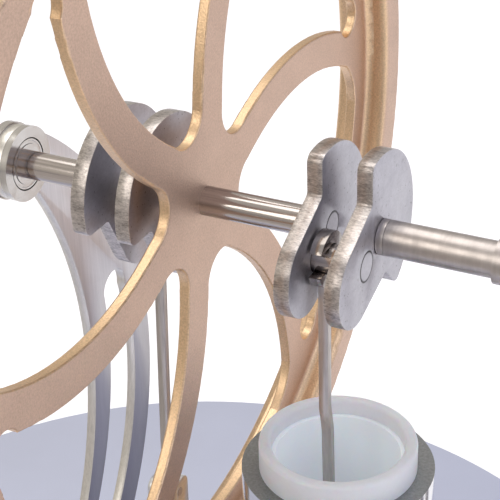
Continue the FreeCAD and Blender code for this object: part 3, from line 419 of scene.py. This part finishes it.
def web_finish(colours, name, pin):
    """Crank web: satin rolled faces, striated cut edges with a painted highlight along their broken
    edges, and a thin ring of painted shade round each flush pin.
    """
    finish = Finish(name, metallic=1.0)
    wires = finish.wires
    facing = finish.group(facing_group, normal=finish.normal)
    flat = facing["Mask"]
    cut = finish.group(
        lines_group, vector=finish.place, stretch=(0.4, 1.0, 1.0), scale=7000.0
    )
    rolled = finish.group(
        lines_group, vector=finish.place, stretch=(1.0, 0.7, 1.0), scale=3600.0
    )
    wear = finish.group(wear_group, vector=finish.place, scale=330.0)
    face = finish.shades(rolled["Tone"], tuple(colours.web), 0.90, 1.06)
    face = wires.blend(wires.math("MULTIPLY", wear["Pits"], 0.6), face, PIT)
    edge = finish.shades(cut["Tone"], tuple(colours.steel), 0.52, 1.30)
    tone = wires.blend(flat, edge, face)
    # Painted highlight: a bright band along the break between face and cut edge.
    painted_break_highlight = wires.math("MULTIPLY", facing["Break"], wires.span(cut["Tone"], 0.1, 0.7))
    tone = wires.blend(wires.math("MULTIPLY", painted_break_highlight, 0.75), tone, BREAK_HIGHLIGHT)
    rings = [
        finish.group(
            ring_group, vector=finish.place, centre=tuple(centre), radius=PIN_RADIUS
        )["Mask"]
        for centre in (pin, SHAFT)
    ]
    # Painted shade: a dark ring round each flush pin.
    finish.set("Base Color", wires.blend(wires.math("MAXIMUM", *rings), tone, PIN_GAP_SHADE))
    rough = wires.math("MULTIPLY_ADD", flat, 0.10, 0.30)
    finish.set("Roughness", wires.math("MULTIPLY_ADD", wear["Stain"], 0.08, rough))
    height = wires.math(
        "ADD",
        wires.math("MULTIPLY", cut["Height"], wires.math("SUBTRACT", 1.0, flat)),
        wires.math("MULTIPLY", rolled["Height"], wires.math("MULTIPLY", flat, 0.3)),
    )
    finish.bump(height, 0.03 * MM, 0.9)
    return finish.material


def bar_finish(colours, name, centre):
    """Ground bar, streaked along its length; its flush ends look like the webs round them, with a ring
    of painted shade where they meet.
    """
    finish = Finish(name, metallic=1.0)
    wires = finish.wires
    flat = finish.group(facing_group, normal=finish.normal)["Mask"]
    drawn = finish.group(lines_group, vector=finish.place, stretch=(0.02, 1.0, 1.0), scale=2600.0)
    rolled = finish.group(
        lines_group, vector=finish.place, stretch=(1.0, 0.7, 1.0), scale=3600.0
    )
    bar = finish.shades(drawn["Tone"], tuple(colours.steel), 0.78, 1.2)
    end = finish.shades(rolled["Tone"], tuple(colours.web), 0.90, 1.06)
    ring = finish.group(
        ring_group, vector=finish.place, centre=tuple(centre), radius=PIN_RADIUS - 0.06 * MM,
        width=0.15 * MM,
    )["Mask"]
    # Painted shade: a dark ring round the bar's flush end.
    end = wires.blend(ring, end, PIN_GAP_SHADE)
    finish.set("Base Color", wires.blend(flat, bar, end))
    finish.set("Roughness", wires.math("MULTIPLY_ADD", flat, 0.24, 0.15))
    finish.bump(drawn["Height"], 0.008 * MM, 0.6)
    return finish.material


def turned_finish(name, base, roughness, stretch, depth, scale=2600.0):
    """Metal that was turned or ground: fine lines round it and faint stains."""
    finish = Finish(name, metallic=1.0)
    tool = finish.group(lines_group, vector=finish.place, stretch=stretch, scale=scale)
    wear = finish.group(wear_group, vector=finish.place, scale=420.0)
    finish.set("Base Color", finish.shades(tool["Tone"], base, 0.88, 1.06))
    finish.set(
        "Roughness", finish.wires.math("MULTIPLY_ADD", wear["Stain"], 0.12, roughness)
    )
    finish.bump(tool["Height"], depth, 0.6)
    return finish.material


def rod_finish(colours, name, pin):
    """Satin strip, grained along its length; its eye round the pin is darker and smoother."""
    finish = Finish(name, metallic=1.0)
    wires = finish.wires
    grain = finish.group(
        lines_group, vector=finish.place, stretch=(1.0, 1.0, 0.08), scale=3400.0
    )
    wear = finish.group(wear_group, vector=finish.place, scale=420.0)
    away = wires.vector("LENGTH", wires.vector("SUBTRACT", finish.place, tuple(pin)))
    eye = wires.span(away, PIN_RADIUS + 1.8 * MM, PIN_RADIUS + 1.2 * MM)
    strip = finish.shades(grain["Tone"], tuple(colours.rod), 0.82, 1.10)
    # The eye is coloured darker round the pin.
    darker_eye = finish.shades(wear["Stain"], tuple(colours.eye), 0.7, 1.25)
    finish.set("Base Color", wires.blend(eye, strip, darker_eye))
    satin = wires.math("MULTIPLY_ADD", wear["Stain"], 0.12, 0.30)
    finish.set("Roughness", wires.math("MULTIPLY_ADD", eye, -0.18, satin))
    finish.bump(grain["Height"], 0.02 * MM, 0.6)
    return finish.material


def sheet_finish(colours):
    """Stainless sheet: satin grain up its faces, a bright cut edge, and painted shade that darkens the
    faces towards the feet.
    """
    finish = Finish("stainless_sheet", metallic=1.0)
    wires = finish.wires
    flat = finish.group(facing_group, normal=finish.normal)["Mask"]
    grain = finish.group(lines_group, vector=finish.place, stretch=(1.0, 1.0, 0.05), scale=4200.0)
    wear = finish.group(wear_group, vector=finish.place, scale=90.0)
    face = finish.shades(grain["Tone"], tuple(colours.sheet), 0.90, 1.06)
    low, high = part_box("left_support")
    rise = wires.add("ShaderNodeSeparateXYZ", {0: finish.place}).outputs["Z"]
    # Painted shade: the faces darken towards the feet.
    shade_towards_feet = wires.span(rise, low.z + 8 * MM, high.z - 12 * MM, 0.92, 0.0)
    face = wires.blend(shade_towards_feet, face, tuple(colours.sheet_foot_shade))
    edge = finish.shades(grain["Tone"], tuple(colours.sheet_edge), 0.88, 1.1)
    finish.set("Base Color", wires.blend(flat, edge, face))
    finish.set("Roughness", wires.math("MULTIPLY_ADD", wear["Stain"], 0.06, 0.34))
    finish.bump(grain["Height"], 0.012 * MM, 0.5)
    return finish.material


def plate_finish(colours):
    """Blue-grey satin anodising."""
    finish = Finish("anodised_plate", metallic=0.85)
    skin = finish.group(blast_group, vector=finish.place, scale=6500.0)
    wear = finish.group(wear_group, vector=finish.place, scale=45.0)
    finish.set("Base Color", finish.shades(skin["Tone"], tuple(colours.plate), 0.96, 1.03))
    finish.set("Roughness", finish.wires.math("MULTIPLY_ADD", wear["Stain"], 0.04, 0.36))
    finish.bump(skin["Height"], 0.008 * MM, 0.4)
    return finish.material


def frosted_finish(colours, name, through, painted_glow):
    """Frosted white plastic that lets some light through, with a faint painted glow (emission)
    standing in for the light it scatters.
    """
    finish = Finish(
        name, roughness=0.38, ior=1.48, transmission_weight=through,
        subsurface_weight=0.4, subsurface_scale=2.0 * MM, emission_strength=painted_glow,
        emission_color=(0.86, 0.90, 1.0),
    )
    skin = finish.group(blast_group, vector=finish.place, scale=2600.0)
    cloud = finish.group(wear_group, vector=finish.place, scale=240.0)["Stain"]
    grain = finish.wires.math("MULTIPLY", skin["Tone"], 0.7)
    tone = finish.wires.math("MULTIPLY_ADD", cloud, 0.3, grain)
    finish.set("Base Color", finish.shades(tone, tuple(colours.tube), 0.95, 1.04))
    finish.bump(skin["Height"], 0.012 * MM, 0.5)
    return finish.material


def jacket_finish(colours):
    """Polished barrel with a blasted dark end."""
    finish = Finish("polished_jacket", metallic=1.0)
    wires = finish.wires
    level = wires.add("ShaderNodeSeparateXYZ", {0: finish.place}).outputs["Z"]
    end_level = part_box("cylinder_jacket")[1].z
    near_end = wires.span(level, end_level - 0.3 * MM, end_level - 0.1 * MM)
    level_face = finish.group(facing_group, normal=finish.normal, axis=(0.0, 0.0, 1.0))["Mask"]
    top = wires.math("MULTIPLY", level_face, near_end)
    tool = finish.group(lines_group, vector=finish.place, stretch=(0.03, 0.03, 1.0), scale=2600.0)
    skin = finish.group(blast_group, vector=finish.place, scale=3800.0)
    barrel = finish.shades(tool["Tone"], tuple(colours.barrel), 0.93, 1.04)
    end = finish.shades(skin["Tone"], tuple(colours.jacket_top), 0.75, 1.3)
    finish.set("Base Color", wires.blend(top, barrel, end))
    finish.set("Roughness", wires.math("MULTIPLY_ADD", top, 0.45, 0.10))
    finish.bump(wires.math("MULTIPLY", skin["Height"], top), 0.03 * MM, 0.7)
    return finish.material


def clear_finish(colours):
    """Clear cast acrylic with faint drawing lines."""
    finish = Finish(
        "clear_acrylic", ior=1.49, transmission_weight=1.0, base_color=tuple(colours.acrylic)
    )
    tool = finish.group(lines_group, vector=finish.place, stretch=(0.05, 0.05, 1.0), scale=300.0)
    finish.set("Roughness", finish.wires.math("MULTIPLY_ADD", tool["Tone"], 0.04, 0.02))
    return finish.material


def matt_finish(name, base, roughness, scale, depth, **plain):
    """Rubber, graphite or foam: an even matt skin."""
    finish = Finish(name, **plain)
    skin = finish.group(blast_group, vector=finish.place, scale=scale)
    finish.set("Base Color", finish.shades(skin["Tone"], base, 0.8, 1.15))
    finish.set("Roughness", finish.wires.math("MULTIPLY_ADD", skin["Tone"], 0.1, roughness))
    finish.bump(skin["Height"], depth, 0.6)
    return finish.material


def paint(material, *nodes):
    """Put a finish on CAD nodes."""
    for name in nodes:
        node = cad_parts[name]
        if not node.material_slots:
            node.data.materials.append(material)
        for place in node.material_slots:
            place.material = material


# ---------------------------------------------------------------- modelling helpers


def nothing_selected():
    """Object mode, with nothing selected."""
    if bpy.context.mode != "OBJECT":
        bpy.ops.object.mode_set(mode="OBJECT")
    bpy.ops.object.select_all(action="DESELECT")


def choose(piece):
    """Select one piece alone and make it active."""
    nothing_selected()
    piece.select_set(True)
    bpy.context.view_layer.objects.active = piece


def edit_all():
    """Edit mode, with the whole mesh selected."""
    bpy.ops.object.mode_set(mode="EDIT")
    bpy.ops.mesh.select_all(action="SELECT")


def apply_modifiers(piece):
    """Apply a piece's modifiers in their order."""
    choose(piece)
    for modifier in list(piece.modifiers):
        bpy.ops.object.modifier_apply(modifier=modifier.name)


def settle(piece, name, body, material):
    """Name a finished piece, put its place in its mesh and let it ride."""
    choose(piece)
    bpy.ops.object.transform_apply(location=True, rotation=True, scale=True)
    piece.name = name
    piece.data.name = name
    piece.data.materials.clear()
    piece.data.materials.append(material)
    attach(piece, body)


def combine(piece, tool, operation):
    """Join a tool's shape to a piece or cut it out, and remove the tool."""
    boolean = piece.modifiers.new("combine", "BOOLEAN")
    boolean.operation = operation
    boolean.object = tool
    apply_modifiers(piece)
    bpy.data.objects.remove(tool)


def round_edges(piece, width, angle=EDGE_ANGLE):
    """Break a piece's edges that are sharper than an angle."""
    bevel = piece.modifiers.new("break", "BEVEL")
    bevel.width = width
    bevel.segments = 2
    bevel.angle_limit = angle
    apply_modifiers(piece)


def cut_away(piece, centre, size):
    """Take a box out of a piece."""
    nothing_selected()
    bpy.ops.mesh.primitive_cube_add(size=1.0, location=centre, scale=size)
    combine(piece, bpy.context.object, "DIFFERENCE")


def cylinder(sides, radius, depth, location, rotation=(0, 0, 0)):
    """A cylinder primitive to be shaped further."""
    nothing_selected()
    bpy.ops.mesh.primitive_cylinder_add(
        vertices=sides, radius=radius, depth=depth, location=location, rotation=rotation
    )
    return bpy.context.object


def softened(node, width, body, material, cut=None):
    """A copy of a CAD node whose sharp edges are broken, standing for the node."""
    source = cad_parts[node]
    piece = bpy.data.objects.new(f"{node}_finished", source.data.copy())
    bpy.context.scene.collection.objects.link(piece)
    choose(piece)
    edit_all()
    bpy.ops.mesh.remove_doubles(threshold=0.002 * MM)
    bpy.ops.mesh.dissolve_limited(angle_limit=radians(0.4))
    bpy.ops.object.mode_set(mode="OBJECT")
    if cut:
        cut_away(piece, *cut)
    round_edges(piece, width, radians(38))
    bpy.ops.object.shade_smooth_by_angle(angle=SMOOTH_ANGLE)
    settle(piece, f"{node}_finished", body, material)
    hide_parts(node)


# ---------------------------------------------------------------- operators


class ENGINE_OT_chamber(bpy.types.Operator):
    """Finish the plates, the clear ring and its gaskets"""

    bl_idname = "engine.chamber"
    bl_label = "Chamber"

    def execute(self, context):
        colours = context.scene.engine_colours
        paint(plate_finish(colours), "top_plate", "bottom_plate")
        paint(clear_finish(colours), "chamber_ring")
        rubber = matt_finish("gasket_rubber", tuple(colours.rubber), 0.6, 1800.0, 0.03 * MM)
        paint(rubber, "lower_gasket", "upper_gasket", "cylinder_gasket")
        return {"FINISHED"}


class ENGINE_OT_supports(bpy.types.Operator):
    """Break the sheet edges of the two supports and finish them"""

    bl_idname = "engine.supports"
    bl_label = "Supports"

    def execute(self, context):
        material = sheet_finish(context.scene.engine_colours)
        width = context.scene.engine_sizes.sheet_break
        for node in ("left_support", "right_support"):
            softened(node, width, "base", material)
        return {"FINISHED"}


class ENGINE_OT_bearings(bpy.types.Operator):
    """Finish the bearings and add a pressed shield to each side of both"""

    bl_idname = "engine.bearings"
    bl_label = "Bearings"

    def execute(self, context):
        colour = tuple(context.scene.engine_colours.bearing)
        steel = turned_finish("bearing_steel", colour, 0.16, (1.0, 0.04, 0.04), 0.01 * MM)
        for side in ("left", "right"):
            paint(steel, *(f"{side}_bearing_{part}" for part in ("outer", "inner", "balls")))
            paint(steel, f"{side}_retainer")
            self.shields(context.scene.engine_sizes, side, steel)
        return {"FINISHED"}

    def shields(self, sizes, side, material):
        """Two thin rings with a pressed step, a little inside the bearing's faces."""
        low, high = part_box(f"{side}_bearing_outer")
        ball_low, ball_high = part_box(f"{side}_bearing_balls")
        inner_low, inner_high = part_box(f"{side}_bearing_inner")
        outside = (ball_high.z - ball_low.z) / 2 - sizes.shield_inset
        inside = (inner_high.z - inner_low.z) / 2 + sizes.shield_gap
        first = self.shield(sizes, low.x, 1, outside, inside)
        second = self.shield(sizes, high.x, -1, outside, inside)
        choose(first)
        second.select_set(True)
        bpy.ops.object.join()
        settle(first, f"{side}_bearing_shields", "base", material)

    def shield(self, sizes, face, way, outside, inside):
        """One shield, drawn in from its outer circle in three steps, then given its wall."""
        nothing_selected()
        bpy.ops.mesh.primitive_circle_add(
            vertices=64, radius=outside, fill_type="NOTHING", rotation=UPRIGHT_X,
            location=(face + way * sizes.shield_deep, SHAFT.y, SHAFT.z),
        )
        ring = bpy.context.object
        edit_all()
        for share, step in ((0.30, 0.0), (0.08, sizes.shield_step), (0.62, 0.0)):
            self.draw_in(share * (outside - inside), way * step)
        bpy.ops.object.mode_set(mode="OBJECT")
        wall = ring.modifiers.new("wall", "SOLIDIFY")
        wall.thickness = sizes.shield_thick
        wall.offset = 0.0
        apply_modifiers(ring)
        edit_all()
        bpy.ops.mesh.normals_make_consistent(inside=False)
        bpy.ops.object.mode_set(mode="OBJECT")
        bpy.ops.object.shade_smooth_by_angle(angle=SMOOTH_ANGLE)
        return ring

    def draw_in(self, amount, step):
        """Extrude the selected loop, shrink it by an amount and push it along the shaft."""
        piece = bpy.context.object
        bpy.ops.mesh.extrude_edges_move(TRANSFORM_OT_translate={"value": (step, 0, 0)})
        bpy.ops.object.mode_set(mode="OBJECT")
        ring = [vertex for vertex in piece.data.vertices if vertex.select]
        radius = max((vertex.co.xy.length for vertex in ring))
        bpy.ops.object.mode_set(mode="EDIT")
        share = (radius - amount) / radius
        bpy.ops.transform.resize(value=(1, share, share), center_override=tuple(piece.location))


class ENGINE_OT_cylinder(bpy.types.Operator):
    """Finish the power cylinder, its jacket and its piston"""

    bl_idname = "engine.cylinder"
    bl_label = "Power cylinder"

    def execute(self, context):
        colours = context.scene.engine_colours
        # The tube and liner get a faint painted glow (emission).
        paint(frosted_finish(colours, "frosted_tube", 0.35, 0.04), "cylinder_tube")
        paint(frosted_finish(colours, "frosted_liner", 0.0, 0.12), "cylinder_liner")
        paint(jacket_finish(colours), "cylinder_jacket")
        graphite = matt_finish(
            "graphite", tuple(colours.graphite), 0.4, 3000.0, 0.02 * MM, metallic=0.3
        )
        paint(graphite, "power_piston")
        return {"FINISHED"}


class ENGINE_OT_crank_webs(bpy.types.Operator):
    """Break the cut edges of the four crank webs and finish them"""

    bl_idname = "engine.crank_webs"
    bl_label = "Crank webs"

    def execute(self, context):
        width = context.scene.engine_sizes.web_break
        for crank, pin in (("power", POWER_PIN), ("displacer", DISPLACER_PIN)):
            material = web_finish(context.scene.engine_colours, f"{crank}_web_steel", pin)
            for side in ("inner", "outer"):
                softened(f"{crank}_{side}_web", width, "crankshaft", material)
        return {"FINISHED"}


class ENGINE_OT_shafts(bpy.types.Operator):
    """Finish the shafts, pins, sleeve and collar, and add the thrust washer"""

    bl_idname = "engine.shafts"
    bl_label = "Shafts"

    def execute(self, context):
        colours = context.scene.engine_colours
        paint(bar_finish(colours, "ground_bar", SHAFT),
              "left_shaft", "middle_shaft", "right_shaft", "piston_pin", "displacer_pin")
        paint(bar_finish(colours, "power_pin_bar", POWER_PIN), "power_crankpin")
        paint(bar_finish(colours, "displacer_pin_bar", DISPLACER_PIN), "displacer_crankpin")
        turned = turned_finish(
            "turned_sleeve", tuple(colours.steel), 0.32, (1.0, 0.2, 0.2), 0.03 * MM
        )
        paint(turned, "spacer_sleeve", "shaft_collar")
        self.washer(context.scene.engine_sizes, turned)
        return {"FINISHED"}

    def washer(self, sizes, material):
        """A thrust washer between the outer web and the sleeve, as wide as the sleeve."""
        web_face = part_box("power_outer_web")[1].x + sizes.washer_gap
        sleeve_low, sleeve_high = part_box("spacer_sleeve")
        sleeve_end = sleeve_low.x - sizes.washer_gap
        place = ((web_face + sleeve_end) / 2, SHAFT.y, SHAFT.z)
        outside = (sleeve_high.z - sleeve_low.z) / 2
        washer = cylinder(96, outside, sleeve_end - web_face, place, UPRIGHT_X)
        bore = cylinder(96, PIN_RADIUS + sizes.washer_gap, 8 * MM, place, UPRIGHT_X)
        combine(washer, bore, "DIFFERENCE")
        round_edges(washer, sizes.rod_break)
        bpy.ops.object.shade_smooth_by_angle(angle=SMOOTH_ANGLE)
        settle(washer, "thrust_washer", "crankshaft", material)


class ENGINE_OT_flywheel(bpy.types.Operator):
    """Finish the flywheel"""

    bl_idname = "engine.flywheel"
    bl_label = "Flywheel"

    def execute(self, context):
        paint(gold_finish(context.scene.engine_colours), "flywheel")
        return {"FINISHED"}


class ENGINE_OT_rods(bpy.types.Operator):
    """Break the edges of the connecting rods and finish rods and forks"""

    bl_idname = "engine.rods"
    bl_label = "Rods and forks"

    def execute(self, context):
        colours = context.scene.engine_colours
        width = context.scene.engine_sizes.rod_break
        power = rod_finish(colours, "power_rod_strip", POWER_PIN)
        mouth = (POWER_PIN + Vector((0, -2.0 * MM, 1.0 * MM)), (6 * MM, 4.0 * MM, 0.95 * MM))
        softened("power_rod", width, "power_rod", power, mouth)
        link = rod_finish(colours, "displacer_link_strip", DISPLACER_PIN)
        softened("displacer_link", width, "displacer_link", link)
        milled = turned_finish(
            "milled_fork", tuple(colours.fork), 0.28, (1.0, 0.06, 1.0), 0.015 * MM
        )
        softened("piston_fork", width, "piston", milled)
        softened("displacer_fork", width, "displacer", milled)
        return {"FINISHED"}


class ENGINE_OT_displacer(bpy.types.Operator):
    """Finish the displacer, its stem and its gland"""

    bl_idname = "engine.displacer"
    bl_label = "Displacer"

    def execute(self, context):
        colours = context.scene.engine_colours
        foam = matt_finish("foam_disc", tuple(colours.foam), 0.7, 900.0, 0.12 * MM)
        paint(foam, "displacer_disc")
        stem = turned_finish(
            "stem_steel", tuple(colours.stem), 0.14, (0.03, 0.03, 1.0), 0.004 * MM
        )
        paint(stem, "displacer_stem", "displacer_washer", "displacer_nut")
        bronze = turned_finish(
            "gland_bronze", tuple(colours.bronze), 0.24, (0.04, 0.04, 1.0), 0.02 * MM
        )
        paint(bronze, "displacer_gland")
        return {"FINISHED"}


class ENGINE_OT_screws(bpy.types.Operator):
    """Model the cap screws with hexagon sockets and ribbed heads, and finish all screws"""

    bl_idname = "engine.screws"
    bl_label = "Screws"

    def execute(self, context):
        sizes = context.scene.engine_sizes
        material = turned_finish(
            "screw_steel", tuple(context.scene.engine_colours.screw), 0.26, (0.2, 0.2, 1.0),
            0.01 * MM,
        )
        low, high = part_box("left_foot_screws")
        reach = (high.x - low.x) / 2
        for side in ("left", "right"):
            node = f"{side}_foot_screws"
            low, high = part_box(node)
            places = [(middle(node).x, low.y + reach), (middle(node).x, high.y - reach)]
            self.make(sizes, f"{side}_foot_caps", node, places, reach, material)
        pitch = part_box("cylinder_screws")[1].y - reach - CYLINDER.y
        places = [
            (CYLINDER.x + pitch * cos(turn), CYLINDER.y + pitch * sin(turn))
            for turn in (pi / 2 + tau * number / 3 for number in range(3))
        ]
        self.make(sizes, "cylinder_caps", "cylinder_screws", places, reach, material)
        paint(material, "clamp_screws")
        return {"FINISHED"}

    def make(self, sizes, name, node, places, reach, material):
        """Copies of one screw at each place, joined, standing for a node."""
        low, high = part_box(node)
        first = self.screw(sizes, places[0], high.z, low.z, reach)
        screws = [first]
        for x, y in places[1:]:
            copy = first.copy()
            copy.data = first.data.copy()
            copy.location = (x, y, first.location.z)
            bpy.context.scene.collection.objects.link(copy)
            screws.append(copy)
        choose(first)
        for screw in screws:
            screw.select_set(True)
        bpy.ops.object.join()
        settle(first, name, "base", material)
        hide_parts(node)

    def screw(self, sizes, place, top, bottom, reach):
        """One cap screw: ribbed head with broken edges and a hexagon socket, plain shank."""
        high = sizes.cap_high
        head_place = (*place, top - high / 2)
        head = cylinder(RIBS * 2, reach, high, head_place)
        self.pick_ribs(head)
        bpy.ops.transform.resize(value=(RIB_DEPTH, RIB_DEPTH, 1), center_override=head_place)
        bpy.ops.object.mode_set(mode="OBJECT")
        flat_to_corner = 2 * cos(pi / 6)
        socket = cylinder(
            6, sizes.socket_across / flat_to_corner, 2 * sizes.socket_depth, (*place, top)
        )
        combine(head, socket, "DIFFERENCE")
        shank_high = top - high - bottom + 0.2 * MM
        shank = cylinder(
            32, sizes.shank_across / 2, shank_high, (*place, bottom + shank_high / 2)
        )
        combine(head, shank, "UNION")
        round_edges(head, sizes.cap_break)
        bpy.ops.object.shade_smooth_by_angle(angle=radians(35))
        return head

    def pick_ribs(self, head):
        """Enter edit mode with every other upright edge of a head selected."""
        bpy.ops.object.mode_set(mode="EDIT")
        bpy.ops.mesh.select_all(action="DESELECT")
        bpy.ops.object.mode_set(mode="OBJECT")
        for edge in head.data.edges:
            ends = [head.data.vertices[index].co.xy for index in edge.vertices]
            upright = (ends[0] - ends[1]).length < 0.01 * MM
            number = round(ends[0].angle_signed(Vector((1, 0))) / (pi / RIBS))
            edge.select = upright and number % 2 == 0
        bpy.ops.object.mode_set(mode="EDIT")


# Name, place, size across, power and tint.
LAMPS = (
    ("overhead", (-0.10, 0.10, 0.62), 0.45, 1.1, (1.0, 0.99, 0.97)),
    ("cool_side", (0.60, -0.05, 0.34), 0.40, 0.6, (0.86, 0.88, 1.0)),
    ("front", (-0.16, -0.52, 0.41), 0.34, 0.75, (1.0, 0.96, 0.90)),
)


class ENGINE_OT_stage(bpy.types.Operator):
    """Lay the floor, hang the lights and set the camera"""

    bl_idname = "engine.stage"
    bl_label = "Stage"

    def execute(self, context):
        settings = context.scene.engine_stage
        self.floor(settings)
        self.surroundings()
        for name, place, size, power, tint in LAMPS:
            self.lamp(name, place, size, power, tint)
        self.camera(settings)
        context.scene.view_settings.view_transform = "Standard"
        return {"FINISHED"}

    def floor(self, settings):
        """A pale floor; only what metal mirrors of it darkens towards the front."""
        nothing_selected()
        bpy.ops.mesh.primitive_plane_add(size=settings.floor_width, location=(0, 0, CAD_BOX[0].z))
        floor = bpy.context.object
        floor.name = "floor"
        finish = Finish("pale_floor", roughness=0.9, emission_strength=0.25)
        wires = finish.wires
        cloud = wires.noise(finish.place, 3.0)
        pale = finish.shades(cloud, tuple(settings.floor_colour), 0.99, 1.0)
        forward = wires.vector("DOT_PRODUCT", finish.place, (0.45, 0.89, 0.0))
        flag = wires.span(forward, -0.14, 0.03)
        shaded = wires.blend(flag, (0.42, 0.40, 0.38), pale)
        seen = wires.add("ShaderNodeLightPath").outputs["Is Camera Ray"]
        tone = wires.blend(seen, shaded, pale)
        finish.set("Base Color", tone)
        finish.set("Emission Color", tone)
        floor.data.materials.append(finish.material)

    def surroundings(self):
        """A pale room, brighter overhead, warm to the left and cool to the right."""
        world = bpy.data.worlds.new("pale_room")
        bpy.context.scene.world = world
        world.use_nodes = True
        tree = world.node_tree
        tree.nodes.clear()
        wires = Wires(tree)
        way = wires.add("ShaderNodeTexCoord").outputs["Generated"]
        split = wires.add("ShaderNodeSeparateXYZ", {0: way})
        level = wires.span(split.outputs["Z"], -1.0, 1.0, 0.45, 0.75)
        side = wires.span(split.outputs["X"], -0.6, 0.6)
        tint = wires.blend(side, (1.0, 0.94, 0.84), (0.84, 0.86, 1.0))
        light = wires.blend(1.0, level, tint, "MULTIPLY")
        seen = wires.add("ShaderNodeLightPath").outputs["Is Camera Ray"]
        shown = wires.blend(seen, light, (0.97, 0.97, 0.98))
        background = wires.add("ShaderNodeBackground", {"Color": shown, "Strength": 1.0})
        output = wires.add("ShaderNodeOutputWorld")
        tree.links.new(background.outputs[0], output.inputs[0])

    def lamp(self, name, place, size, power, tint):
        """A soft round lamp turned to the shaft."""
        data = bpy.data.lights.new(name, "AREA")
        data.shape = "DISK"
        data.size = size
        data.energy = power
        data.color = tint
        lamp = bpy.data.objects.new(name, data)
        bpy.context.scene.collection.objects.link(lamp)
        lamp.location = place
        lamp.rotation_euler = (SHAFT - Vector(place)).to_track_quat("-Z", "Y").to_euler()

    def camera(self, settings):
        """Look at the aim from the set direction, with the set roll."""
        turn, rise = settings.azimuth, settings.elevation
        back = Vector((sin(turn) * cos(rise), -cos(turn) * cos(rise), sin(rise)))
        right = Vector((cos(turn), sin(turn), 0.0))
        up = back.cross(right)
        across = right * cos(settings.roll) + up * sin(settings.roll)
        upright = up * cos(settings.roll) - right * sin(settings.roll)
        aim = Vector((settings.aim_along, SHAFT.y, SHAFT.z - settings.aim_drop))
        data = bpy.data.cameras.new("camera")
        data.lens = settings.lens
        data.sensor_width = 36.0
        data.clip_start = 0.005
        camera = bpy.data.objects.new("camera", data)
        bpy.context.scene.collection.objects.link(camera)
        camera.matrix_world = mathutils.Matrix.Translation(aim + back * settings.distance) @ (
            mathutils.Matrix((across, upright, back)).transposed().to_4x4()
        )
        bpy.context.scene.camera = camera


class ENGINE_PT_panel(bpy.types.Panel):
    """The engine's pieces in the 3D view's sidebar"""

    bl_label = "Stirling engine"
    bl_idname = "ENGINE_PT_panel"
    bl_space_type = "VIEW_3D"
    bl_region_type = "UI"
    bl_category = "Engine"

    def draw(self, context):
        for operator in OPERATORS:
            self.layout.operator(operator.bl_idname)
        for settings in ("engine_sizes", "engine_colours", "engine_stage"):
            group = getattr(context.scene, settings)
            box = self.layout.box()
            for name in group.bl_rna.properties.keys():
                if name not in ("rna_type", "name"):
                    box.prop(group, name)


OPERATORS = (
    ENGINE_OT_chamber, ENGINE_OT_supports, ENGINE_OT_bearings, ENGINE_OT_cylinder,
    ENGINE_OT_crank_webs, ENGINE_OT_shafts, ENGINE_OT_flywheel, ENGINE_OT_rods,
    ENGINE_OT_displacer, ENGINE_OT_screws, ENGINE_OT_stage,
)
GROUPS = {
    "engine_sizes": EngineSizes, "engine_colours": EngineColours, "engine_stage": StageSettings,
}


def register():
    for cls in (*GROUPS.values(), *OPERATORS, ENGINE_PT_panel):
        bpy.utils.register_class(cls)
    for name, cls in GROUPS.items():
        setattr(bpy.types.Scene, name, bpy.props.PointerProperty(type=cls))


def unregister():
    for name in GROUPS:
        delattr(bpy.types.Scene, name)
    for cls in (ENGINE_PT_panel, *reversed(OPERATORS), *reversed(GROUPS.values())):
        bpy.utils.unregister_class(cls)


def main():
    register()
    for operator in OPERATORS:
        category, name = operator.bl_idname.split(".")
        getattr(getattr(bpy.ops, category), name)()


if __name__ == "__main__":
    main()
